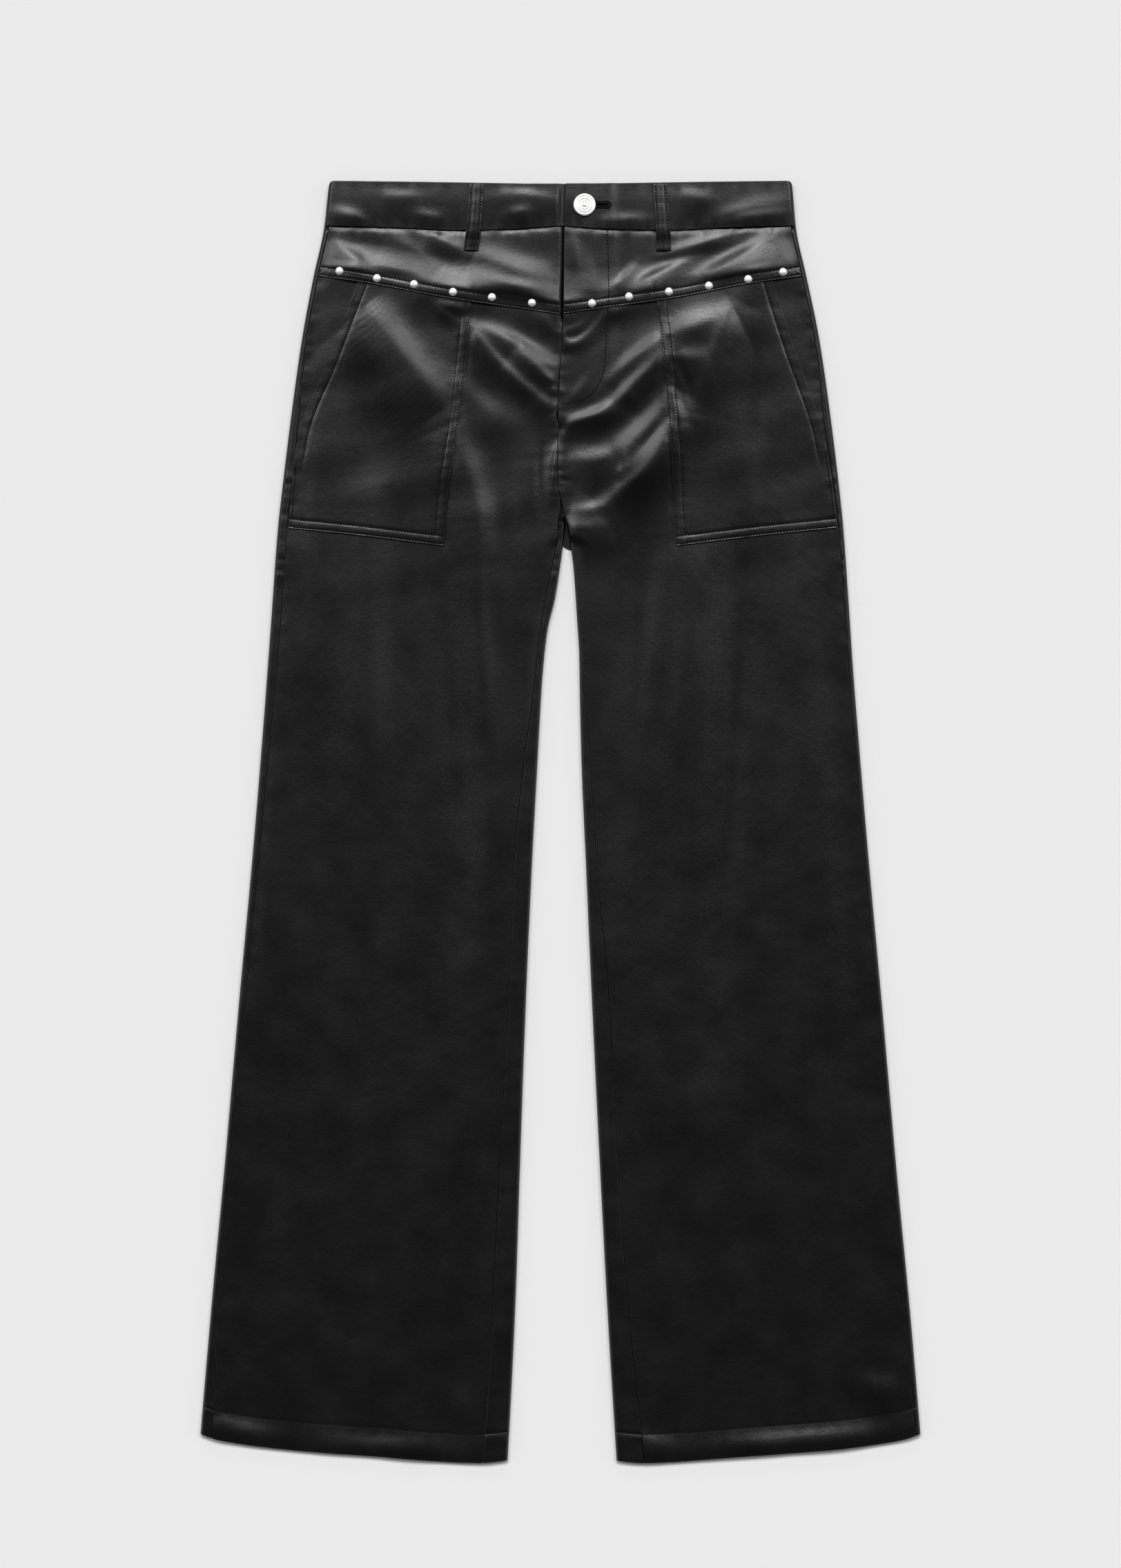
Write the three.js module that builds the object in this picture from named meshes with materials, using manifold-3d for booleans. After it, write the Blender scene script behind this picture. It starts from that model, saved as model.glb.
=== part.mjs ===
import * as THREE from 'three';
import { mergeVertices } from 'three/addons/utils/BufferGeometryUtils.js';
import Module from 'manifold-3d';

// Wide-leg leather trousers laid flat on their back, in millimetres.
// +X is the wearer's left, +Y is towards the waist and +Z is up, away from the surface they lie on.
// The origin is on that surface, under the middle of the outline.
// "Out" is a distance from the centre line towards the side seam, on either half.

// Driving dimensions
const WALL = 1.2; // leather cloth
const BAND_WALL = 2.4; // waistband, two layers
const SEAM_GAP = 0.3; // between neighbouring pieces
const LAP_RISE = WALL + SEAM_GAP; // what one more layer underneath adds
const POCKET_RISE = LAP_RISE + 0.2; // with room for the front's folds under it
const ROLL = 3; // radius of a laid leg's rolled edge
const BAND_ROLL = 3.5; // radius of the waistband's rolled edge
const HEM_DEPTH = 24; // the turned-up hem
const HEM_FOLD = 1; // thickness that its second layer adds
const YOKE_LAP = 9; // how far the yokes cover the panels below them
const FLY_WIDTH = 36;
const FLY_END = 347; // level where the fly's edge becomes a plain seam
const FLY_STEP = 1.3; // how far the left front stands proud at the fly
const UNDER_DIP = 1.9; // how far the right front sinks to pass under it
const UNDER_REACH = 10; // how far it runs on under the left front
const BAND_SAG = 0.4; // waistband's middle below its rolled edges
const BAND_PROUD = 0.8; // left waistband above its rolled edge, where it laps
const BAND_DIP = 1.5; // right waistband's end below its middle, where it is lapped
const UNDERLAP = 33; // how far the right waistband runs on under the left one
const STUD = { radius: 3.5, rim: 0.5, height: 1.8 };
const BUTTON = { x: 20, y: 512.9, radius: 9.4, thick: 2.4, shank: 2.4 };
const BUTTONHOLE = { end: 40, halfWidth: 0.8, eye: 3.1 };
const LOOP = { width: 12.2, wall: 2, bow: 0.8, top: 530.4, foot: 475 };

// The outline by level. rim and fork are the outer and inner outline; side and inseam are the widths
// of the strips of back panel that show beside the side seam and the inseam.
const RIGHT_LEVELS = [
  { y: 533, rim: 192.4, side: 4 },
  { y: 493, rim: 197, side: 4 },
  { y: 455, rim: 205.3, side: 4 },
  { y: 403, rim: 215, side: 4.2 },
  { y: 343, rim: 223.5, side: 6.7 },
  { y: 268, rim: 232.7, side: 8, fork: -3.2, inseam: 3 },
  { y: 257, fork: -4, inseam: 4.8 },
  { y: 246, rim: 235.1, side: 7.9, fork: -4, inseam: 6.4 },
  { y: 235, fork: -2.6, inseam: 4.8 },
  { y: 213, fork: 0.3, inseam: 6.6 },
  { y: 186, fork: 4.6, inseam: 7.5 },
  { y: 160, rim: 241.4, side: 8.2, fork: 10.8, inseam: 5.6 },
  { y: 122, fork: 14.9, inseam: 6 },
  { y: 52, rim: 249.6, side: 6.6, fork: 19, inseam: 11 },
  { y: -38, rim: 257.2, side: 5.7, fork: 23.8, inseam: 14.8 },
  { y: -141, rim: 266.8, side: 5.4, fork: 28.4, inseam: 14.2 },
  { y: -293, rim: 280.2, side: 4.6, fork: 33.9, inseam: 17.6 },
  { y: -383, rim: 288.7, side: 4.6, fork: 36.8, inseam: 18.8 },
  { y: -440, rim: 293.8, side: 8, fork: 39.2, inseam: 19.2 },
  { y: -533, rim: 301.6, side: 10.2, fork: 44, inseam: 21 },
];
const LEFT_LEVELS = [
  { y: 533, rim: 192.6, side: 4 },
  { y: 493, rim: 196.2, side: 4 },
  { y: 455, rim: 204.5, side: 4 },
  { y: 403, rim: 215.2, side: 4.2 },
  { y: 331, rim: 225.6, side: 6.4 },
  { y: 269, rim: 233, side: 4.6, fork: -2.8, inseam: 3 },
  { y: 257, fork: 1.2, inseam: 1.8 },
  { y: 244, rim: 235.5, side: 4.4, fork: 5.8, inseam: 0.4 },
  { y: 232, fork: 8, inseam: 0 },
  { y: 213, fork: 10.6, inseam: 0 },
  { y: 167, rim: 240.9, side: 4, fork: 13.8, inseam: 0 },
  { y: 139, rim: 242.7, side: 4, fork: 15.5, inseam: 0 },
  { y: 107, fork: 16, inseam: 3.6 },
  { y: 52, rim: 249.5, side: 4, fork: 17.3, inseam: 6.9 },
  { y: -42, rim: 257.5, side: 4.1, fork: 21.4, inseam: 9.2 },
  { y: -152, rim: 267.6, side: 4, fork: 26.2, inseam: 14.7 },
  { y: -293, rim: 280, side: 4, fork: 33, inseam: 15 },
  { y: -408, rim: 291, side: 4.2, fork: 39.1, inseam: 17.8 },
  { y: -533, rim: 301.6, side: 4.7, fork: 46.6, inseam: 23.6 },
];

// The fly's edge, which below the fly is the seam between the fronts
const CENTRE_FRONT = [
  { y: 533, x: 4.6 },
  { y: 493, x: 3 },
  { y: 421, x: 2.3 },
  { y: 347, x: -1.8 },
  { y: 283, x: -2.5 },
  { y: 268, x: 0.2 },
];

// The back panels' inner edges, side by side down to the fork, where the right one rolls up first
const RIGHT_BACK_EDGE = [
  { y: 533, out: 0 },
  { y: 300, out: -0.8 },
  { y: 262, out: -1.2 },
  { y: 250, out: -1 },
];
const LEFT_BACK_EDGE = [
  { y: 533, out: 0 },
  { y: 300, out: 0.8 },
  { y: 261, out: 1.3 },
  { y: 255, out: 3.8 },
  { y: 246, out: 4.5 },
  { y: 238, out: 3.8 },
  { y: 229, out: 3 },
  { y: 226, out: 11.8 },
];

// Edges that run across: the waistband's top and seam, the yokes' lower edge, the hem and the pockets'
// lower edge
const BAND_TOP = [
  { out: 30, y: 531 },
  { out: 120, y: 532.5 },
  { out: 188, y: 533.3 },
];
const BAND_SEAM = [
  { out: 0, y: 495.4 },
  { out: 40, y: 492.8 },
  { out: 85, y: 491.9 },
  { out: 145, y: 494.2 },
  { out: 196, y: 495.5 },
];
const YOKE_EDGE = [
  { out: -3, y: 421.4 },
  { out: 34, y: 427 },
  { out: 95, y: 435.5 },
  { out: 150, y: 446 },
  { out: 206, y: 454.6 },
];
const HEM = [
  { out: 43, y: -531 },
  { out: 68, y: -533.3 },
  { out: 155, y: -527.8 },
  { out: 230, y: -522 },
  { out: 283, y: -514.5 },
  { out: 302, y: -508.4 },
];
const POCKET_FOOT = [
  { out: 96, y: 229.5 },
  { out: 160, y: 237.4 },
  { out: 230, y: 244.6 },
];

// Patch pockets by level: outer is the slanted opening and then the side seam
const RIGHT_POCKET = [
  { y: 460, outer: 164, inner: 72.6 },
  { y: 433, outer: 174.5, inner: 74.2 },
  { y: 378, outer: 195.6, inner: 79.4 },
  { y: 329, outer: 216, inner: 85.2 },
  { y: 303, outer: 221.4, inner: 89.3 },
  { y: 282, outer: 223.2, inner: 92.6 },
  { y: 231, outer: 227, inner: 97.4 },
];
const LEFT_POCKET = [
  { y: 460, outer: 173.5, inner: 78.4 },
  { y: 435, outer: 181, inner: 79.9 },
  { y: 390, outer: 195.5, inner: 85.2 },
  { y: 331, outer: 216.3, inner: 90.1 },
  { y: 303, outer: 222.6, inner: 92.4 },
  { y: 264, outer: 228.2, inner: 94.3 },
  { y: 231, outer: 230.6, inner: 96.3 },
];

// The largest folds: a bent line in plan from start past middle to end, half width and height
const FOLDS = [
  { start: [-64, 409], middle: [-40, 379], end: [-4, 347], width: 10, height: 2.4 },
  { start: [-56, 420], middle: [-30, 399], end: [-3, 380], width: 9, height: 1.2 },
  { start: [-4, 317], middle: [-8, 302], end: [-9, 268], width: 7, height: 1.6 },
  { start: [-93, 222], middle: [-72, 110], end: [-62, -70], width: 22, height: -1.2 },
  { start: [-158, 440], middle: [-122, 392], end: [-96, 352], width: 24, height: 1 },
  { start: [2, 343], middle: [42, 338], end: [82, 391], width: 10, height: 2.2 },
  { start: [40, 373], middle: [58, 384], end: [76, 406], width: 9, height: 1.2 },
  { start: [30, 318], middle: [62, 306], end: [82, 342], width: 12, height: 1.7 },
  { start: [10, 262], middle: [52, 256], end: [86, 322], width: 11, height: 2 },
  { start: [150, 186], middle: [118, 10], end: [64, -300], width: 22, height: -1.2 },
  { start: [120, 440], middle: [146, 400], end: [100, 345], width: 24, height: 0.9 },
];

const STUDS = [
  { x: -183.6, y: 457.7 },
  { x: -152.5, y: 451.8 },
  { x: -121.7, y: 446.8 },
  { x: -89.3, y: 440.2 },
  { x: -57, y: 436.1 },
  { x: -23.7, y: 431.5 },
  { x: 26.1, y: 431 },
  { x: 56.9, y: 436.7 },
  { x: 90, y: 440.6 },
  { x: 123.2, y: 445.6 },
  { x: 155.8, y: 450.8 },
  { x: 184.8, y: 456.9 },
];

// Middle of each front belt loop at its top, where it crosses the waistband's seam, and at its foot
const FRONT_LOOPS = [
  { name: 'belt_loop_right', top: -69.6, seam: -72, foot: -74.4 },
  { name: 'belt_loop_left', top: 82.9, seam: 85, foot: 85.8 },
];

const LEATHER = new THREE.MeshStandardMaterial({ color: 0x1b1b1d, roughness: 0.42, metalness: 0 });
const METAL = new THREE.MeshStandardMaterial({ color: 0xd9d9d6, roughness: 0.28, metalness: 1 });

// Smooth step from 0 at start to 1 at end, which may lie either way round
function ease(value, start, end) {
  const t = Math.min(1, Math.max(0, (value - start) / (end - start)));
  return t * t * (3 - 2 * t);
}

function mix(a, b, t) {
  return a + (b - a) * t;
}

// One column of a table as a smooth function of its key, level beyond the ends
function curve(rows, key, column) {
  const known = rows.filter((row) => row[column] !== undefined).sort((a, b) => a[key] - b[key]);
  const at = known.map((row) => row[key]);
  const value = known.map((row) => row[column]);
  const rate = (i) => (value[i + 1] - value[i]) / (at[i + 1] - at[i]);
  const slope = value.map((_, i) => {
    if (i === 0) return rate(0);
    if (i === value.length - 1) return rate(i - 1);
    const [before, after] = [rate(i - 1), rate(i)];
    return before * after <= 0 ? 0 : (2 * before * after) / (before + after);
  });
  return (k) => {
    if (k <= at[0]) return value[0];
    if (k >= at.at(-1)) return value.at(-1);
    const i = at.findIndex((limit) => k < limit) - 1;
    const width = at[i + 1] - at[i];
    const t = (k - at[i]) / width;
    const straight = mix(value[i], value[i + 1], t * t * (3 - 2 * t));
    return straight + width * (slope[i] * t * (1 - t) ** 2 - slope[i + 1] * t * t * (1 - t));
  };
}

const WAIST = BAND_SEAM[0].y;
const centreFront = curve(CENTRE_FRONT, 'y', 'x');
const bandTop = curve(BAND_TOP, 'out', 'y');
const bandSeam = curve(BAND_SEAM, 'out', 'y');
const yokeEdge = curve(YOKE_EDGE, 'out', 'y');
const hem = curve(HEM, 'out', 'y');
const pocketFoot = curve(POCKET_FOOT, 'out', 'y');

// Half of the garment: crotch is the level where its front leaves the centre line, and the back panel's
// inner edge rolls up from curl.start to curl.end
function halfOf(side, levels, pocket, backEdge, crotch, curl) {
  return {
    side,
    crotch,
    curl,
    rim: curve(levels, 'y', 'rim'),
    strip: curve(levels, 'y', 'side'),
    fork: curve(levels, 'y', 'fork'),
    inseam: curve(levels, 'y', 'inseam'),
    backEdge: curve(backEdge, 'y', 'out'),
    edgeEnd: backEdge.at(-1).y,
    pocketOuter: curve(pocket, 'y', 'outer'),
    pocketInner: curve(pocket, 'y', 'inner'),
  };
}

const RIGHT = halfOf(-1, RIGHT_LEVELS, RIGHT_POCKET, RIGHT_BACK_EDGE, 268, { start: 258, end: 246 });
const LEFT = halfOf(1, LEFT_LEVELS, LEFT_POCKET, LEFT_BACK_EDGE, 269, { start: 228, end: 218 });

// A path in the plane of one level, of straight and bent parts. Seen with "out" to the right it turns
// clockwise, with the garment's inside on its right.
function pathOf(start, parts) {
  const at = (distance) => {
    let { out, z, heading } = start;
    let left = distance;
    parts.forEach(({ length, radius }, i) => {
      const go = i < parts.length - 1 ? Math.min(left, length) : left;
      left -= go;
      if (radius) {
        const turned = heading - go / radius;
        out += radius * (Math.sin(heading) - Math.sin(turned));
        z += radius * (Math.cos(turned) - Math.cos(heading));
        heading = turned;
      } else {
        out += go * Math.cos(heading);
        z += go * Math.sin(heading);
      }
    });
    return { out, z, heading };
  };
  return { at, length: parts.reduce((sum, part) => sum + part.length, 0) };
}

// How far cloth that comes up round an inner edge has turned when it reaches a seam this far from it
function turnTo(strip) {
  return strip >= ROLL ? Math.PI : Math.PI - Math.asin(1 - strip / ROLL);
}

function frontPath(half, y) {
  const end = half.rim(y) - half.strip(y);
  if (y > half.crotch) {
    const reach = half === RIGHT ? UNDER_REACH * ease(y, FLY_END - 7, FLY_END + 5) : 0;
    const start = half.side * centreFront(y) - reach;
    const path = pathOf({ out: start, z: 2 * ROLL, heading: 0 }, [{ length: end - start }]);
    return { ...path, end, lead: Math.max(4, reach + 2) };
  }
  const turned = turnTo(half.inseam(y));
  const flatStart = half.fork(y) + Math.max(ROLL, half.inseam(y));
  const bend = ROLL * (Math.PI - turned);
  const start = {
    out: flatStart - ROLL * Math.sin(turned),
    z: ROLL - ROLL * Math.cos(turned),
    heading: Math.PI - turned,
  };
  const path = pathOf(start, [{ length: bend, radius: ROLL }, { length: end - flatStart }]);
  return { ...path, end, lead: Math.max(4, bend) };
}

// Distance along a front's path to a place this far out on its flat stretch
function alongFront(path, out) {
  return path.length - (path.end - out);
}

function backPath(half, y) {
  const strip = half.strip(y) - ROLL;
  const curl = ease(y, half.curl.start, half.curl.end);
  const turned = curl * turnTo(half.inseam(y));
  const flap = ease(curl, 0.5, 1) * Math.max(0, half.inseam(y) - ROLL);
  const inner = y > half.edgeEnd ? half.backEdge(y) : half.fork(y) + ROLL;
  const path = pathOf({ out: half.rim(y) - half.strip(y), z: 2 * ROLL, heading: 0 }, [
    { length: strip },
    { length: Math.PI * ROLL, radius: ROLL },
    { length: half.rim(y) - ROLL - inner },
    { length: ROLL * turned, radius: ROLL },
    { length: flap },
  ]);
  return { ...path, strip, flap, bend: ROLL * turned };
}

function bandPath(half, y) {
  const start = half.side * centreFront(y) - (half === RIGHT ? UNDERLAP : 0);
  const edge = half.rim(y) - BAND_ROLL;
  const path = pathOf({ out: start, z: 2 * BAND_ROLL, heading: 0 }, [
    { length: edge - start },
    { length: Math.PI * BAND_ROLL, radius: BAND_ROLL },
    { length: edge - half.backEdge(y) },
  ]);
  return { ...path, start, edge };
}

// Height that one fold adds at (x, y): highest along its middle, and fading to its sides and ends
function foldHeight({ start, middle, end, width, height }, x, y) {
  const steps = 16;
  let nearest = Infinity;
  let along = 0;
  for (let i = 0; i <= steps; i++) {
    const t = i / steps;
    const [px, py] = [0, 1].map((k) => mix(mix(start[k], middle[k], t), mix(middle[k], end[k], t), t));
    const distance = Math.hypot(x - px, y - py);
    if (distance < nearest) [nearest, along] = [distance, t];
  }
  const ends = Math.sin(Math.PI * mix(0.12, 0.88, along));
  return height * ends * Math.exp(-((nearest / width) ** 2));
}

// How far the laid front's outer face lies above the level of the rolled edges
function frontRelief(half) {
  return (x, y) => {
    const out = half.side * x;
    const toFork = mix(100, out - half.fork(y), ease(y, half.crotch, half.crotch - 40));
    const edge = Math.min(half.rim(y) - out, toFork);
    const heights = FOLDS.reduce((sum, fold) => sum + foldHeight(fold, x, y), 0);
    const folds = ease(edge, ROLL, ROLL + 16) * heights;
    const sag = mix(0.9, 0.2, ease(y, 150, 300)) * ease(edge, ROLL, 70);
    const lap = ease(y, FLY_END - 22, FLY_END - 7);
    const centre = centreFront(y);
    if (half === LEFT) {
      return folds - sag + FLY_STEP * lap * ease(x, centre + FLY_WIDTH + 15, centre + FLY_WIDTH);
    }
    const under = lap * ease(x, centre - 7, centre - 0.5);
    return folds * (1 - under) - sag - UNDER_DIP * under;
  };
}

function pocketRelief(half) {
  const relief = frontRelief(half);
  return (x, y) => relief(x, y) + POCKET_RISE;
}

// The yoke lies on the front at its lower edge, and on the pocket too where that runs under it
function yokeRelief(half) {
  const relief = frontRelief(half);
  return (x, y) => {
    const out = half.side * x;
    const onFront = ease(y - yokeEdge(out), YOKE_LAP + 6, YOKE_LAP + 1.5);
    const inner = half.pocketInner(y);
    const outer = half.pocketOuter(y);
    const onPocket = ease(out, inner - 10, inner - 2) * ease(out, outer + 10, outer + 2);
    return relief(x, y) + onFront * (LAP_RISE + POCKET_RISE * onPocket);
  };
}

function bandRelief(half) {
  const centre = centreFront(WAIST);
  if (half === RIGHT) return (x) => -BAND_SAG - BAND_DIP * ease(x, centre - 12, centre - 2);
  return (x) => mix(-BAND_SAG, BAND_PROUD, ease(x, centre + UNDERLAP + 14, centre + UNDERLAP + 3));
}

// A closed wall between a grid of outer points and the matching grid of inner points
function wallGeometry(outer, inner) {
  const rows = outer.length;
  const columns = outer[0].length;
  const far = rows * columns;
  const index = [];
  const quad = (a, b, c, d) => index.push(a, b, c, a, c, d);
  for (let r = 0; r < rows - 1; r++) {
    for (let c = 0; c < columns - 1; c++) {
      const i = r * columns + c;
      quad(i, i + 1, i + columns + 1, i + columns);
      quad(far + i, far + i + columns, far + i + columns + 1, far + i + 1);
    }
  }
  for (let c = 0; c < columns - 1; c++) {
    const last = (rows - 1) * columns + c;
    quad(c, far + c, far + c + 1, c + 1);
    quad(last, last + 1, far + last + 1, far + last);
  }
  for (let r = 0; r < rows - 1; r++) {
    const first = r * columns;
    const last = first + columns - 1;
    quad(first, first + columns, far + first + columns, far + first);
    quad(last, far + last, far + last + columns, last + columns);
  }
  return facingOut([...outer.flat(), ...inner.flat()].flat(), index);
}

// A geometry from coordinates and triangles, turned so that its faces point out
function facingOut(coordinates, index) {
  const geometry = new THREE.BufferGeometry();
  geometry.setAttribute('position', new THREE.Float32BufferAttribute(coordinates, 3));
  const corner = (i) => new THREE.Vector3(...coordinates.slice(3 * i, 3 * i + 3));
  let volume = 0;
  for (let i = 0; i < index.length; i += 3) {
    const [a, b, c] = [index[i], index[i + 1], index[i + 2]].map(corner);
    volume += a.dot(b.cross(c));
  }
  geometry.setIndex(volume < 0 ? [...index].reverse() : index);
  geometry.computeVertexNormals();
  return geometry;
}

// Cloth with a row of points for each line across the garment, where a line gives y at a distance out.
// columnsAt gives a row's places as distances along the level's path.
function clothGeometry(half, { lines, pathAt, columnsAt, relief = () => 0, wallAt = () => WALL }) {
  const placeAt = (y, column) => {
    const path = pathAt(half, y);
    return path.at(columnsAt(path, y)[column]);
  };
  const pointAt = (line, column) => {
    let y = line(100);
    for (let i = 0; i < 6; i++) y = line(placeAt(y, column).out);
    const { out, z, heading } = placeAt(y, column);
    const x = half.side * out;
    const up = Math.max(0, Math.cos(heading));
    const slope = (up * half.side * (relief(x + 1, y) - relief(x - 1, y))) / 2;
    const normal = new THREE.Vector2(-Math.sin(heading) - slope, Math.cos(heading)).normalize();
    const height = z + up * relief(x, y);
    const wall = wallAt(out, y);
    return {
      outer: [x, y, height],
      inner: [x - half.side * normal.x * wall, y, height - normal.y * wall],
    };
  };
  const columns = [...columnsAt(pathAt(half, lines[0](100)), lines[0](100)).keys()];
  const grid = lines.map((line) => columns.map((column) => pointAt(line, column)));
  return wallGeometry(
    grid.map((row) => row.map((point) => point.outer)),
    grid.map((row) => row.map((point) => point.inner)),
  );
}

// Places through an end's strip and bend, or as far on the flat where it isn't bent
function endPlaces(strip, bend, steps) {
  const total = Math.max(strip + bend, 5);
  const first = Math.max(strip, total / (steps + 1));
  return [0, ...Array.from({ length: steps + 1 }, (_, i) => mix(first, total, i / steps))];
}

// Places from the start's to the end's, with count even steps between, closer at the start with power
function fillPlaces(length, start, end, count, power = 1) {
  const [low, high] = [SEAM_GAP / 2, length - SEAM_GAP / 2];
  const from = low + start.at(-1);
  const to = high - end.at(-1);
  const middle = Array.from({ length: count - 1 }, (_, i) => mix(from, to, ((i + 1) / count) ** power));
  return [...start.map((d) => low + d), ...middle, ...end.map((d) => high - d).reverse()];
}

// Places from a front's inner edge, through its bend or the stretch that runs under the fly
function leadPlaces({ lead }) {
  return [0, lead / 3, (2 * lead) / 3, lead, lead + 5, lead + 11];
}

// Lines at shares of the way from an upper to a lower line
function linesBetween(upper, lower, shares) {
  return shares.map((share) => (out) => mix(upper(out), lower(out), share));
}

function hemWall(out, y) {
  return WALL + HEM_FOLD * ease(y - hem(out), HEM_DEPTH + 2, HEM_DEPTH - 1);
}

// Shares of a leg's length, set by levels down its inner edge
function legShares(top, levels) {
  const bottom = HEM[0].y;
  return [0, ...levels.map((y) => (top - y) / (top - bottom)), 1];
}

// Levels of the rows of points, down the inner edge
const FORK_LEVELS = [272, 266, 261, 257, 254, 251, 248, 244, 238, 232, 228, 224, 221, 217, 208];
const LEG_LEVELS = [188, 162, 143, 136, 128, 118, 104, 80, 40, -20, -100, -200, -300, -385, -440, -485];
const HEM_LEVELS = [HEM_DEPTH + 2, HEM_DEPTH - 2].map((rise) => HEM[0].y + rise);

function backGeometry(half) {
  const hips = [470, 448, 426, 408, 390, 370, 345, 318, 298, 284];
  const levels = [...hips, ...FORK_LEVELS, ...LEG_LEVELS, ...HEM_LEVELS];
  return clothGeometry(half, {
    lines: linesBetween((out) => bandSeam(out) - SEAM_GAP / 2, hem, legShares(WAIST, levels)),
    pathAt: backPath,
    columnsAt: (path) => {
      const outer = endPlaces(path.strip, Math.PI * ROLL, 4);
      const inner = endPlaces(path.flap, path.bend, 4);
      return fillPlaces(path.length, outer, inner, 3);
    },
    wallAt: hemWall,
  });
}

function frontGeometry(half) {
  const top = YOKE_EDGE[0].y + YOKE_LAP;
  const upper = [418, 405, 393, 381, 369, 357, 345, 330, 315, 300, 285];
  const levels = [...upper, ...FORK_LEVELS, ...LEG_LEVELS, ...HEM_LEVELS];
  return clothGeometry(half, {
    lines: linesBetween((out) => yokeEdge(out) + YOKE_LAP, hem, legShares(top, levels)),
    pathAt: frontPath,
    columnsAt: (path) => fillPlaces(path.length, leadPlaces(path), [0, 4, 14], 10, 1.3),
    relief: frontRelief(half),
    wallAt: hemWall,
  });
}

function yokeGeometry(half) {
  const rises = [0, 3, 6.5, YOKE_LAP + 1, YOKE_LAP + 3, YOKE_LAP + 6.5];
  const lower = rises.map((rise) => (out) => yokeEdge(out) + rise);
  const top = (out) => bandSeam(out) - SEAM_GAP / 2;
  const upper = linesBetween(lower.at(-1), top, [0.4, 1]);
  const bays = (from, to, steps) => Array.from({ length: steps }, (_, i) => mix(from, to, (i + 1) / steps));
  return clothGeometry(half, {
    lines: [...lower, ...upper],
    pathAt: frontPath,
    columnsAt: (path, y) => {
      const [inner, outer] = [half.pocketInner(y), half.pocketOuter(y)];
      const marks = [28, 38.5, 46, 54, inner - 10, inner - 6, inner - 2, ...bays(inner, outer, 5)];
      const middle = [...marks, outer + 2, outer + 6, outer + 10].map((out) => alongFront(path, out));
      const lead = leadPlaces(path).map((place) => place + SEAM_GAP / 2);
      return [...lead, ...middle, path.length - SEAM_GAP / 2];
    },
    relief: yokeRelief(half),
  });
}

function pocketGeometry(half) {
  const shares = [0, 0.04, 0.12, 0.22, 0.33, 0.44, 0.55, 0.66, 0.77, 0.88, 0.96, 1];
  const cover = (out) => yokeEdge(out) + YOKE_LAP - 1;
  return clothGeometry(half, {
    lines: linesBetween(cover, pocketFoot, [0, 0.1, 0.2, 0.3, 0.4, 0.5, 0.61, 0.73, 0.85, 0.96, 1]),
    pathAt: frontPath,
    columnsAt: (path, y) =>
      shares.map((share) => alongFront(path, mix(half.pocketInner(y), half.pocketOuter(y), share))),
    relief: pocketRelief(half),
  });
}

function bandGeometry(half) {
  const seam = (out) => bandSeam(out) + SEAM_GAP / 2;
  const atLap = half === LEFT ? [16, 28, 38, 42, 46, 50] : [-24, -12, -2, 1, 4, 7, 10, 30];
  return clothGeometry(half, {
    lines: linesBetween(seam, bandTop, [0, 0.06, 0.35, 0.65, 0.94, 1]),
    pathAt: bandPath,
    columnsAt: (path) => {
      const marks = [...atLap, 70, 100, 130, 160].map((out) => out - path.start);
      const bend = Math.PI * BAND_ROLL;
      const round = Array.from({ length: 7 }, (_, i) => path.edge - path.start + (bend * i) / 6);
      const [from, to] = [round.at(-1), path.length - SEAM_GAP / 2];
      return [0, ...marks, ...round, mix(from, to, 0.33), mix(from, to, 0.67), to];
    },
    relief: bandRelief(half),
    wallAt: () => BAND_WALL,
  });
}

const wasm = await Module();
wasm.setup();

// A geometry as a solid that can be cut
function solidOf(geometry) {
  const bare = new THREE.BufferGeometry();
  bare.setAttribute('position', geometry.getAttribute('position'));
  bare.setIndex(geometry.getIndex());
  const merged = mergeVertices(bare, 1e-4);
  const vertProperties = new Float32Array(merged.getAttribute('position').array);
  const triVerts = new Uint32Array(merged.getIndex().array);
  return new wasm.Manifold(new wasm.Mesh({ numProp: 3, vertProperties, triVerts }));
}

function cutGeometry(geometry, cutter) {
  const mesh = solidOf(geometry).subtract(solidOf(cutter)).getMesh();
  return facingOut([...mesh.vertProperties], [...mesh.triVerts]);
}

// The keyhole: a round eye for the button's shank, with a slot from it to the buttonhole's end
function buttonholeCutter() {
  const { end, halfWidth, eye } = BUTTONHOLE;
  const opening = Math.asin(halfWidth / eye);
  const outline = new THREE.Shape();
  outline.absarc(0, 0, eye, opening, 2 * Math.PI - opening, false);
  outline.absarc(end - BUTTON.x - halfWidth, 0, halfWidth, -Math.PI / 2, Math.PI / 2, false);
  const under = 2 * BAND_ROLL - BAND_SAG - BAND_DIP;
  const depth = 2 * BAND_ROLL;
  const cutter = new THREE.ExtrudeGeometry(outline, { depth, bevelEnabled: false, curveSegments: 8 });
  const indexed = mergeVertices(cutter.deleteAttribute('normal').deleteAttribute('uv'), 1e-4);
  return indexed.translate(BUTTON.x, BUTTON.y, under);
}

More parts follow.
